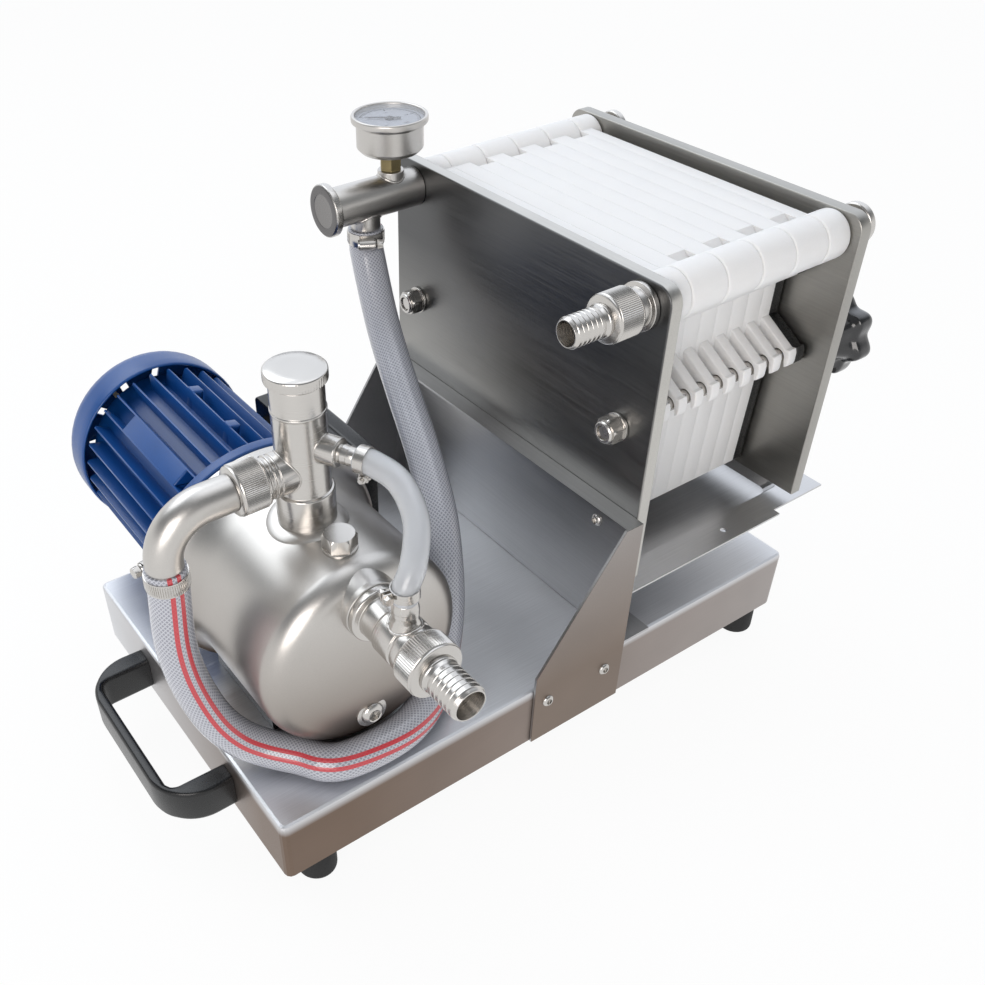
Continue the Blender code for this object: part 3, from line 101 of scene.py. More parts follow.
# Routes of the hoses, repeated from the part, moved to the frame
MAIN_ROUTE = np.array([
    (-0.0106, 0.0890, 0.1613), (-0.0106, 0.0890, 0.1473),
    (-0.0150, 0.0840, 0.1080), (-0.0125, 0.0800, 0.0760), (-0.0050, 0.0710, 0.0460),
    (0.0060, 0.0620, 0.0270), (0.0200, 0.0510, 0.0170), (0.0365, 0.0350, 0.0134),
    (0.0460, 0.0218, 0.0134), (0.0580, 0.0152, 0.0134), (0.0800, 0.0125, 0.0134),
    (0.1040, 0.0142, 0.0134), (0.1260, 0.0230, 0.0140), (0.1460, 0.0380, 0.0170),
    (0.1640, 0.0530, 0.0280), (0.1750, 0.0640, 0.0520), (0.1820, 0.0760, 0.0780),
    (0.1940, 0.1000, 0.1020), (0.2080, 0.1380, 0.1250), (0.2220, 0.1820, 0.1480),
    (0.2360, 0.2280, 0.1780), (0.2448, 0.2610, 0.2242), (0.2448, 0.2610, 0.2402),
]) + (TRAY.x, TRAY.y, TRAY_TOP)


def linear(code):
    """Linear colour of an sRGB hex code such as #8090a0."""
    parts = [int(code[i:i + 2], 16) / 255 for i in (1, 3, 5)]
    return tuple(c / 12.92 if c <= 0.04045 else ((c + 0.055) / 1.055) ** 2.4 for c in parts)


class PressSizes(bpy.types.PropertyGroup):
    """Sizes of the fine pieces that a user would change."""

    hose: bpy.props.FloatProperty(
        name="Pressure hose", description="Outside diameter of the braided hose",
        default=0.0254, min=0.01, unit="LENGTH")
    bypass: bpy.props.FloatProperty(
        name="Bypass hose", description="Outside diameter of the clear hose",
        default=0.0156, min=0.006, unit="LENGTH")
    clamp_band: bpy.props.FloatProperty(
        name="Clamp band", description="Width of the hose clamps' band",
        default=0.0095, min=0.004, unit="LENGTH")
    knurl: bpy.props.FloatProperty(
        name="Knurl depth", description="Depth of the ribs on the union nuts",
        default=0.0005, min=0.0001, unit="LENGTH")
    weld: bpy.props.FloatProperty(
        name="Weld bead", description="Radius of the weld beads on the fittings",
        default=0.0009, min=0.0003, unit="LENGTH")
    screw_head: bpy.props.FloatProperty(
        name="Screw head", description="Diameter of the button heads on the sheet metal",
        default=0.0095, min=0.004, unit="LENGTH")


class PressColours(bpy.types.PropertyGroup):
    """Colours of the finishes, in linear light."""

    sheet_steel: bpy.props.FloatVectorProperty(
        name="Sheet steel", description="Brushed sheet of the drip tray",
        subtype="COLOR", size=3, min=0, max=1, default=linear("#d6d6d7"))
    # The tray's sheet is painted lighter than the drip tray's: a painted reflection of the bright sky.
    tray_steel: bpy.props.FloatVectorProperty(
        name="Tray steel", description="Brushed sheet of the tray, which mirrors more of the sky",
        subtype="COLOR", size=3, min=0, max=1, default=linear("#ecedf0"))
    # The sliding plate's colour is painted darker than the other steel: a painted reflection of the dim room.
    plate_steel: bpy.props.FloatVectorProperty(
        name="Plate steel", description="Thick sliding plate of the press",
        subtype="COLOR", size=3, min=0, max=1, default=linear("#b5b3ae"))
    fitting_steel: bpy.props.FloatVectorProperty(
        name="Fitting steel", description="Turned and welded fittings",
        subtype="COLOR", size=3, min=0, max=1, default=linear("#cdcac6"))
    white_plate: bpy.props.FloatVectorProperty(
        name="Filter plates", description="Moulded polyethylene of the filter plates",
        subtype="COLOR", size=3, min=0, max=1, default=linear("#eeedec"))
    motor_blue: bpy.props.FloatVectorProperty(
        name="Motor blue", description="Enamel of the motor",
        subtype="COLOR", size=3, min=0, max=1, default=linear("#104d93"))
    stripe_red: bpy.props.FloatVectorProperty(
        name="Hose stripes", description="Marking stripes of the pressure hose",
        subtype="COLOR", size=3, min=0, max=1, default=linear("#c4202c"))


# Materials

def add_node(tree, kind, inputs=None, **settings):
    """Add one node: inputs maps a socket to its value or to the socket that feeds it."""
    made = tree.nodes.new(kind)
    for name, value in settings.items():
        setattr(made, name, value)
    for socket, value in (inputs or {}).items():
        if isinstance(value, bpy.types.NodeSocket):
            tree.links.new(value, made.inputs[socket])
        else:
            made.inputs[socket].default_value = value
    return made


def new_material(name, **values):
    """Empty material with one Principled shader; returns the material, its tree and the shader."""
    made = bpy.data.materials.new(name)
    made.use_nodes = True
    shader = made.node_tree.nodes["Principled BSDF"]
    for socket, value in values.items():
        shader.inputs[socket.replace("_", " ")].default_value = value
    return made, made.node_tree, shader


def per_mm(*sizes):
    """Texture scale for features of these sizes in millimetres, on coordinates in metres."""
    return tuple(1000 / size for size in sizes)


def grained(name, colour, roughness, grain, spread=0.06, tone=0.12, cloud=70, depth=0.02, **values):
    """Surface with a fine grain of the sizes given in mm per axis, and clouds of a slightly darker tone."""
    made, tree, shader = new_material(name, **values)
    place = add_node(tree, "ShaderNodeTexCoord").outputs["Object"]
    lines = add_node(tree, "ShaderNodeMapping", {"Vector": place, "Scale": per_mm(*grain)})
    fine = add_node(tree, "ShaderNodeTexNoise", {"Vector": lines.outputs[0], "Scale": 1.0, "Detail": 3.0})
    clouds = add_node(tree, "ShaderNodeTexNoise", {"Vector": place, "Scale": per_mm(cloud)[0], "Detail": 2.0})
    blend = add_node(tree, "ShaderNodeMix", {
        0: clouds.outputs[0],
        6: (*colour, 1.0),
        7: (*[c * (1 - 2 * tone) for c in colour], 1.0),
    }, data_type="RGBA")
    streak = add_node(tree, "ShaderNodeMapRange", {
        "Value": fine.outputs[0], "From Min": 0.3, "From Max": 0.7, "To Min": 1 - tone, "To Max": 1.0})
    tinted = add_node(tree, "ShaderNodeMix", {
        0: 1.0, 6: blend.outputs[2], 7: streak.outputs[0]}, data_type="RGBA", blend_type="MULTIPLY")
    rough = add_node(tree, "ShaderNodeMapRange", {
        "Value": fine.outputs[0], "From Min": 0.3, "From Max": 0.7,
        "To Min": roughness - spread, "To Max": roughness + spread})
    bump = add_node(tree, "ShaderNodeBump", {
        "Strength": 0.35, "Distance": depth / 1000, "Height": fine.outputs[0]})
    tree.links.new(tinted.outputs[2], shader.inputs["Base Color"])
    tree.links.new(rough.outputs[0], shader.inputs["Roughness"])
    tree.links.new(bump.outputs[0], shader.inputs["Normal"])
    return made


def tinted_part(made, code, *ramps):
    """Multiply a material's colour by a tint on one part of the object, which paints a reflection onto that part.

    Each ramp is an axis with two places: the tint is full where all ramps are at their first place, and
    gone where any one of them is at its second."""
    tree, shader = made.node_tree, made.node_tree.nodes["Principled BSDF"]
    colour = shader.inputs["Base Color"].links[0].from_socket
    place = add_node(tree, "ShaderNodeSeparateXYZ", {0: add_node(tree, "ShaderNodeTexCoord").outputs["Object"]})
    clear = None
    for axis, low, high in ramps:
        ramp = add_node(tree, "ShaderNodeMapRange", {
            "Value": place.outputs[axis], "From Min": low, "From Max": high}).outputs[0]
        if clear:
            ramp = add_node(tree, "ShaderNodeMath", {0: clear, 1: ramp}, operation="MAXIMUM").outputs[0]
        clear = ramp
    tint = add_node(tree, "ShaderNodeMix", {
        0: clear, 6: (*linear(code), 1.0), 7: (1.0, 1.0, 1.0, 1.0)}, data_type="RGBA")
    both = add_node(tree, "ShaderNodeMix", {
        0: 1.0, 6: colour, 7: tint.outputs[2]}, data_type="RGBA", blend_type="MULTIPLY")
    tree.links.new(both.outputs[2], shader.inputs["Base Color"])
    return made


def brushed_sheet_x(colours):
    """Brushed 304 stainless sheet, ground along X: soft streaks and a blurred mirror of the room."""
    return grained("brushed_stainless_sheet", colours.sheet_steel, 0.34, (45, 0.7, 0.7), Metallic=1.0)


def folded_tray(colours):
    """The same sheet folded to a tray, painted lighter as a painted reflection of the sky; below its edge the near side
    carries a painted reflection of a warm bench top, the more so at the pump end.
    """
    made = grained("brushed_stainless_tray", colours.tray_steel, 0.40, (45, 0.7, 0.7), Metallic=1.0)
    # The tint #8d7868 is a painted reflection of a warm bench on the tray's sides, fading towards the far side and the
    # press end.
    painted_side_below_edge = (2, TRAY_TOP - 0.009, TRAY_TOP - 0.0005)
    return tinted_part(made, "#8d7868", painted_side_below_edge, (0, TRAY.x + 0.05, TRAY.x + 1.2), (1, TRAY.y + 0.03, TRAY.y + 0.28))


def folded_support(colours):
    """The same sheet folded to the support: its near gusset carries a painted reflection of a warm bench, as dark and
    warm as the tray's side below it, fading upwards.
    """
    made = grained("brushed_stainless_support", linear("#c6c6c7"), 0.34, (0.8, 45, 0.8), Metallic=1.0)
    # The tint #b19e8f on the gusset's outer face is a painted reflection of the bench, fading upwards.
    painted_outer_face = (1, SUPPORT_NEAR.y + 0.0001, SUPPORT_NEAR.y + 0.0004)
    return tinted_part(made, "#b19e8f", painted_outer_face, (2, TRAY_TOP, TRAY_TOP + 0.25))


def ground_front_plate(colours):
    """The fixed plate, ground across the press: its face towards the pump carries a painted reflection of the dark pump
    end, darker towards its top.
    """
    made = grained("ground_stainless_front", linear("#cfcdc8"), 0.34, (0.8, 50, 0.8), Metallic=1.0)
    # The tint #84868a on the pump-side face is a painted reflection, full at the top and gone near the foot.
    face = (0, PLATE_X + 0.0005, PLATE_X + 0.0012)
    return tinted_part(made, "#84868a", (2, TRAY_TOP + 0.22, TRAY_TOP + 0.05), face)


def brushed_plate_y(colours):
    """Ground stainless plate, brushed across the press: its colour is painted darker, a painted reflection of the dim
    room.
    """
    return grained("ground_stainless_plate", colours.plate_steel, 0.36, (0.8, 50, 0.8), Metallic=1.0)


def turned_steel(colours, name, grain):
    """Turned stainless bar: fine rings left by the tool, close to a mirror along them."""
    return grained(name, colours.fitting_steel, 0.24, grain, spread=0.04, tone=0.04, depth=0.002, Metallic=1.0)


def cap_steel(colours):
    """Turned end cap: its flat face carries a painted reflection of the dim side of the room, darker than its rim."""
    made = grained("turned_cap_steel", colours.fitting_steel, 0.26, (0.8, 0.8, 0.8), spread=0.03, tone=0.04,
                   depth=0.002, Metallic=1.0)
    # The tint #8b8b8e on the flat end face is a painted reflection.
    return tinted_part(made, "#8b8b8e", (0, PLATE_X - 0.0789, PLATE_X - 0.0784))


def satin_drum(colours):
    """Deep-drawn stainless drum, glass-bead blasted: soft, wide highlights, and a painted warm, darker reflection of
    the bench towards the tray.
    """
    made = grained("satin_drawn_stainless", colours.fitting_steel, 0.33, (0.9, 0.9, 0.9), spread=0.03,
                   tone=0.05, cloud=45, Metallic=1.0)
    # The tint #8f7b6b is a painted reflection of the warm bench, full low on the drum and gone a little above its axis.
    return tinted_part(made, "#8f7b6b", (2, PUMP_Z - 0.08, PUMP_Z + 0.05))


def polyethylene(colours):
    """Injection-moulded polyethylene: waxy white with a faint grain and soft edges."""
    made = grained("moulded_polyethylene", colours.white_plate, 0.42, (1.1, 1.1, 1.1), spread=0.05, tone=0.02,
                   cloud=30, depth=0.03)
    shader = made.node_tree.nodes["Principled BSDF"]
    shader.inputs["Subsurface Weight"].default_value = 0.12
    shader.inputs["Subsurface Radius"].default_value = (1.0, 0.9, 0.8)
    shader.inputs["Subsurface Scale"].default_value = 0.003
    return made


def black_nylon():
    """Glass-filled nylon from an eroded mould: near black with a leathery sheen."""
    return grained("moulded_black_nylon", linear("#101113"), 0.29, (0.8, 0.8, 0.8), spread=0.05, depth=0.03)


def glossy_nylon():
    """Nylon from a polished mould: black with sharp highlights on the lobes."""
    return grained("glossy_black_nylon", linear("#1c1d20"), 0.18, (1.2, 1.2, 1.2), spread=0.03, depth=0.01,
                   Coat_Weight=0.6, Coat_Roughness=0.08)


def black_rubber():
    """Vulcanised rubber: matt black, slightly dusty."""
    return grained("vulcanised_black_rubber", linear("#1b1b1c"), 0.72, (1.2, 1.2, 1.2), spread=0.06, depth=0.05)


def drawn_brass():
    """Drawn hexagon brass, dulled by handling."""
    return grained("drawn_brass", linear("#b3a47c"), 0.34, (0.6, 0.6, 12), Metallic=1.0)


def motor_enamel(colours):
    """Sprayed enamel on cast aluminium: mid blue with orange peel and a soft gloss."""
    return grained("sprayed_blue_enamel", colours.motor_blue, 0.36, (1.6, 1.6, 1.6), spread=0.05, tone=0.10,
                   cloud=25, depth=0.05, Coat_Weight=0.25, Coat_Roughness=0.25)


def fan_plastic():
    """Moulded polypropylene fan, off-white."""
    return grained("moulded_cream_polypropylene", linear("#cfc5aa"), 0.5, (1.0, 1.0, 1.0))


def braided_vinyl(colours):
    """Clear vinyl hose over a white polyester braid: milky, with crossing threads and two red stripes."""
    made, tree, shader = new_material("braided_vinyl_hose", IOR=1.53, Roughness=0.22, Coat_Weight=0.6,
                                      Coat_Roughness=0.08)
    turns = add_node(tree, "ShaderNodeSeparateXYZ", {0: add_node(tree, "ShaderNodeTexCoord").outputs["UV"]})
    round_turns, along = turns.outputs[0], turns.outputs[1]
    thread_count = 28  # threads round the hose, 2.85 mm apart
    thread_pitch = 0.0029
    threads = []
    for side in (1, -1):
        slant = add_node(tree, "ShaderNodeMath", {
            0: along, 1: side * math.tau / thread_pitch}, operation="MULTIPLY")
        phase = add_node(tree, "ShaderNodeMath", {
            0: round_turns, 1: math.tau * thread_count, 2: slant.outputs[0]}, operation="MULTIPLY_ADD")
        threads.append(add_node(tree, "ShaderNodeMath", {0: phase.outputs[0]}, operation="SINE").outputs[0])
    woven = add_node(tree, "ShaderNodeMath", {0: threads[0], 1: threads[1]}, operation="MAXIMUM")
    shown = add_node(tree, "ShaderNodeMapRange", {
        "Value": woven.outputs[0], "From Min": 0.1, "From Max": 0.9})
    thread_mix = add_node(tree, "ShaderNodeMix", {
        0: shown.outputs[0], 6: (*linear("#8e9099"), 1.0), 7: (*linear("#bfc1c9"), 1.0)}, data_type="RGBA")
    stripes = []
    for centre in (0.463, 0.537):
        away = add_node(tree, "ShaderNodeMath", {0: round_turns, 1: centre}, operation="SUBTRACT")
        off = add_node(tree, "ShaderNodeMath", {0: away.outputs[0]}, operation="ABSOLUTE")
        stripes.append(add_node(tree, "ShaderNodeMath", {
            0: off.outputs[0], 1: 0.019}, operation="LESS_THAN").outputs[0])
    both = add_node(tree, "ShaderNodeMath", {0: stripes[0], 1: stripes[1]}, operation="ADD")
    faded = add_node(tree, "ShaderNodeMath", {0: both.outputs[0], 1: 0.92}, operation="MULTIPLY")
    striped = add_node(tree, "ShaderNodeMix", {
        0: faded.outputs[0], 6: thread_mix.outputs[2], 7: (*colours.stripe_red, 1.0)}, data_type="RGBA")
    bump = add_node(tree, "ShaderNodeBump", {
        "Strength": 0.25, "Distance": 0.0002, "Height": woven.outputs[0]})
    tree.links.new(striped.outputs[2], shader.inputs["Base Color"])
    tree.links.new(bump.outputs[0], shader.inputs["Normal"])
    return made


def clear_vinyl():
    """Clear vinyl tube: slightly hazy and blue, with bright edges."""
    return new_material("clear_vinyl_tube", Base_Color=(*linear("#f0f2f5"), 1.0), Roughness=0.18, IOR=1.45,
                        Transmission_Weight=0.62, Coat_Weight=0.4, Coat_Roughness=0.06)[0]


def dial_card():
    """Enamelled gauge dial: cool grey-white, semi-matt."""
    return grained("enamelled_dial", linear("#9ea2ac"), 0.5, (0.6, 0.6, 0.6), spread=0.04, tone=0.02)


def dial_ink():
    """Printed black of the dial's scale and its pointer."""
    return grained("printed_black", linear("#26262a"), 0.5, (0.5, 0.5, 0.5))


def gauge_glass():
    """Thin acrylic gauge window: nearly all light passes, the rest is a crisp gloss."""
    return new_material("acrylic_window", Base_Color=(*linear("#f4f6fa"), 1.0), Roughness=0.03, Alpha=0.14)[0]


# Mesh making

def grid_faces(rows, columns, wrap=True):
    """Quads between neighbouring rows and columns of a grid; with wrap the last column joins the first."""
    row, column = np.meshgrid(np.arange(rows - 1), np.arange(columns if wrap else columns - 1), indexing="ij")
    a = row * columns + column
    b = row * columns + (column + 1) % columns
    return np.stack([a, b, b + columns, a + columns], -1).reshape(-1, 4)


def aim(points, origin, axis, up=UP):
    """Turn local Z to axis and local X as near to up as it goes, then move to origin."""
    z = np.array(axis, float) / np.linalg.norm(axis)
    x = np.array(up, float) - z * np.dot(up, z)
    if np.linalg.norm(x) < 1e-6:
        x = np.array((1.0, 0, 0)) - z * z[0]
    x /= np.linalg.norm(x)
    return points @ np.stack([x, np.cross(z, x), z]) + np.array(origin, float)


def soften(profile, radius, steps=3):
    """Round the inner corners of a profile: each corner gives way to a curve that leaves both sides within radius."""
    points = np.array(profile, float)
    before, corner, after = points[:-2], points[1:-1], points[2:]
    back, ahead = before - corner, after - corner
    back_length = np.linalg.norm(back, axis=1, keepdims=True)
    ahead_length = np.linalg.norm(ahead, axis=1, keepdims=True)
    reach = np.minimum(radius, 0.45 * np.minimum(back_length, ahead_length))
    start, end = corner + back / back_length * reach, corner + ahead / ahead_length * reach
    t = np.linspace(0, 1, steps + 1)[None, :, None]
    curve = start[:, None] * (1 - t) ** 2 + corner[:, None] * 2 * t * (1 - t) + end[:, None] * t ** 2
    return np.concatenate([points[:1], curve.reshape(-1, 2), points[-1:]])


def revolve(profile, origin, axis, steps=96, radius_at=None, up=UP, turns=None):
    """Surface (r cos t, r sin t, h) for each profile point (r, h) and turn t; radius_at(r, h, t) may shape r."""
    points = np.array(profile, float)
    turn = np.linspace(0, math.tau, steps, endpoint=False) if turns is None else turns
    r, h, t = points[:, :1], points[:, 1:], turn[None, :]
    reach = r + 0 * t if radius_at is None else radius_at(r + 0 * t, h + 0 * t, t + 0 * r)
    local = np.stack([reach * np.cos(t), reach * np.sin(t), h + 0 * t], -1).reshape(-1, 3)
    return aim(local, origin, axis, up), grid_faces(len(points), len(turn))


def bar(radius, length, edge):
    """Profile of a plain round bar with rounded ends."""
    return soften([(0, 0), (radius, 0), (radius, length), (0, length)], edge)


def arc(centre, radius, start, stop, steps):
    """Points (radius cos t, radius sin t) about the centre, t in degrees from start to stop."""
    turn = np.radians(np.linspace(start, stop, steps + 1))
    return np.stack([centre[0] + radius * np.cos(turn), centre[1] + radius * np.sin(turn)], -1)


def rounded_rectangle(left, right, low, high, radius, steps=6):
    """Outline of a rectangle with round corners."""
    return np.concatenate([
        arc((right - radius, high - radius), radius, 0, 90, steps),
        arc((left + radius, high - radius), radius, 90, 180, steps),
        arc((left + radius, low + radius), radius, 180, 270, steps),
        arc((right - radius, low + radius), radius, 270, 360, steps)])


def extrude(outline, low, high, edge, origin=(0, 0, 0), axis=RIGHT, up=UP, steps=3):
    """Solid on an outline (across, up) with round edges, between two heights along its axis.

    Ring t of an end, t from 0 to 90 degrees, lies edge (1 - cos t) deep and edge (1 - sin t) inside the outline,
    along the mitre (n1 + n2) / (1 + n1 n2) of its two sides' normals.
    """
    shape = np.array(outline, float)
    following = np.roll(shape, -1, 0)
    if (shape[:, 0] * following[:, 1] - shape[:, 1] * following[:, 0]).sum() < 0:
        shape = shape[::-1]
    side = np.roll(shape, -1, 0) - shape
    side /= np.linalg.norm(side, axis=1, keepdims=True)
    normal = np.stack([side[:, 1], -side[:, 0]], -1)
    before = np.roll(normal, 1, 0)
    mitre = (normal + before) / (1 + (normal * before).sum(1, keepdims=True))
    t = np.linspace(0, math.pi / 2, steps + 1)
    inset = np.concatenate([[1.3 * edge], edge * (1 - np.sin(t))])
    depth = np.concatenate([[0.0], edge * (1 - np.cos(t))])
    height = np.concatenate([low + depth, high - depth[::-1]])[:, None, None]
    flat = shape - mitre * np.concatenate([inset, inset[::-1]])[:, None, None]
    ahead, top = np.array(axis, float), np.array(up, float)
    points = flat[..., :1] * np.cross(top, ahead) + flat[..., 1:] * top + height * ahead + np.array(origin, float)
    cap = np.arange(len(shape))[None]
    sides = grid_faces(len(points), len(shape))
    return [(points.reshape(-1, 3), sides), (points[0], cap), (points[-1], cap)]


def hexagon(flats):
    """Radius of a hexagon of that width across flats at turn t: half the width over cos of the turn from a flat."""
    def radius_at(r, h, t):
        off = (t + math.pi / 6) % (math.pi / 3) - math.pi / 6
        return np.minimum(r, flats / 2 / np.cos(off))
    return radius_at


def ribbed(count, depth, low, high):
    """Radius less a rounded rib wave of that count and depth, between the heights low and high."""
    def radius_at(r, h, t):
        return r - depth * ((h > low) & (h < high)) * (0.5 - 0.5 * np.cos(count * t))
    return radius_at


def tube(path, radius, sides=32, start_turn=0.0):
    """Round tube along a path: each ring lies across the path, carried on from the last without twist."""
    path = np.array(path, float)
    ahead = np.gradient(path, axis=0)
    ahead /= np.linalg.norm(ahead, axis=1, keepdims=True)
    side = np.array([0.0, 1.0, 0.0]) - ahead[0] * ahead[0][1]
    rings = []
    for direction in ahead:
        side = side - direction * np.dot(side, direction)
        side /= np.linalg.norm(side)
        rings.append((side, np.cross(direction, side)))
    first, second = np.array([r[0] for r in rings]), np.array([r[1] for r in rings])
    turn = np.linspace(0, math.tau, sides + 1)[None] + np.broadcast_to(start_turn, (len(path),))[:, None]
    size = np.broadcast_to(np.asarray(radius, float), (len(path),))[:, None, None]
    ring = first[:, None] * np.cos(turn)[..., None] + second[:, None] * np.sin(turn)[..., None]
    points = (path[:, None] + size * ring).reshape(-1, 3)
    run = np.concatenate([[0], np.cumsum(np.linalg.norm(np.diff(path, axis=0), axis=1))])
    across, down = np.meshgrid(np.linspace(0, 1, sides + 1), run)
    return points, grid_faces(len(path), sides + 1, False), np.stack([across, down], -1).reshape(-1, 2)


def smooth_path(points, step):
    """Catmull-Rom curve through all but the outer points, which keep straight ends, at steps of about that length."""
    p = np.array(points, float)
    a, b, c, d = p[:-3], p[1:-2], p[2:-1], p[3:]
    t = np.linspace(0, 1, 24, endpoint=False)[None, :, None]
    a, b, c, d = (q[:, None] for q in (a, b, c, d))
    curve = (2 * b + (c - a) * t + (2 * a - 5 * b + 4 * c - d) * t ** 2 + (3 * b - a - 3 * c + d) * t ** 3) / 2
    line = np.concatenate([p[:1], curve.reshape(-1, 3), p[-2:]])
    run = np.concatenate([[0], np.cumsum(np.linalg.norm(np.diff(line, axis=0), axis=1))])
    even = np.linspace(0, run[-1], max(2, round(run[-1] / step)) + 1)
    return np.stack([np.interp(even, run, line[:, i]) for i in range(3)], -1)


def piece(name, parts, material, body=MACHINE, replaces=(), sharp=35):
    """One object from several (points, faces[, uv]) surfaces, closed, turned outwards and riding on its body."""
    points, faces, uvs, shift = [], [], [], 0
    for part in parts:
        points.append(part[0])
        faces.append(part[1] + shift)
        uvs.append(part[2] if len(part) > 2 else np.zeros((len(part[0]), 2)))
        shift += len(part[0])
    data = bpy.data.meshes.new(name)
    loops = [f for group in faces for f in group.tolist()]
    data.from_pydata(np.concatenate(points).tolist(), [], loops)
    if any(len(part) > 2 for part in parts):
        layer = data.uv_layers.new(name="UVMap")
        corner = np.zeros(len(data.loops), np.int32)
        data.loops.foreach_get("vertex_index", corner)
        layer.data.foreach_set("uv", np.concatenate(uvs)[corner].astype(np.float32).ravel())
    work = bmesh.new()
    work.from_mesh(data)
    bmesh.ops.remove_doubles(work, verts=work.verts, dist=2e-6)
    bmesh.ops.recalc_face_normals(work, faces=work.faces)
    work.to_mesh(data)
    work.free()
    data.shade_smooth()
    data.set_sharp_from_angle(angle=math.radians(sharp))
    data.materials.append(material)
    made = bpy.data.objects.new(name, data)
    bpy.context.scene.collection.objects.link(made)
    if replaces:
        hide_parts(*replaces)
    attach(made, body)
    return made


def saddle_bead(origin, axis, along, radius_main, radius_branch, bead):
    """Weld bead where a round branch leaves a round body: the branch's circle, laid on the body's surface."""
    t = np.linspace(0, math.tau, 65)
    across = radius_branch * np.sin(t)
    local = np.stack([radius_branch * np.cos(t), across, np.sqrt(radius_main ** 2 - across ** 2)], -1)
    path = aim(local, origin, along, axis)
    wave = bead * (1 + 0.12 * np.sin(19 * t))
    return tube(path, wave, 10)[:2]


def socket_screw(origin, axis, radius):
    """Button head: an arc from the rim to the crown, then a hexagon socket sunk into it."""
    height = radius * 0.55
    swell = [(radius * math.cos(a), height * math.sin(a)) for a in np.linspace(0, 1.0, 7)]
    socket = radius * 0.52
    profile = [(0, 0), (radius, 0), *swell[1:], (socket * 1.12, height * 0.93), (socket, height * 0.86)]
    wall = hexagon(socket * 1.75)

    def radius_at(r, h, t):
        return np.where((r < socket * 1.01) & (h > 0), wall(r, h, t), r)

    profile += [(socket, height * 0.25), (0, height * 0.15)]
    return revolve(profile, origin, axis, 48, radius_at)


def hex_head(origin, axis, flats, height, up=UP):
    """Hexagon head whose corners are cut back by a chamfer cone at the top."""
    corner = flats / 2 / math.cos(math.pi / 6)
    profile = [(0, 0), (corner, 0), (corner, height * 0.85), (flats / 2 * 1.01, height), (0, height)]
    return revolve(profile, origin, axis, 72, hexagon(flats), up)


def material_of(name):
    """Material made before by that name."""
    return bpy.data.materials[name]


# Pieces


class PressOperator:
    """What all operators share: they register in the object mode's undo list."""

    bl_options = {"REGISTER", "UNDO"}


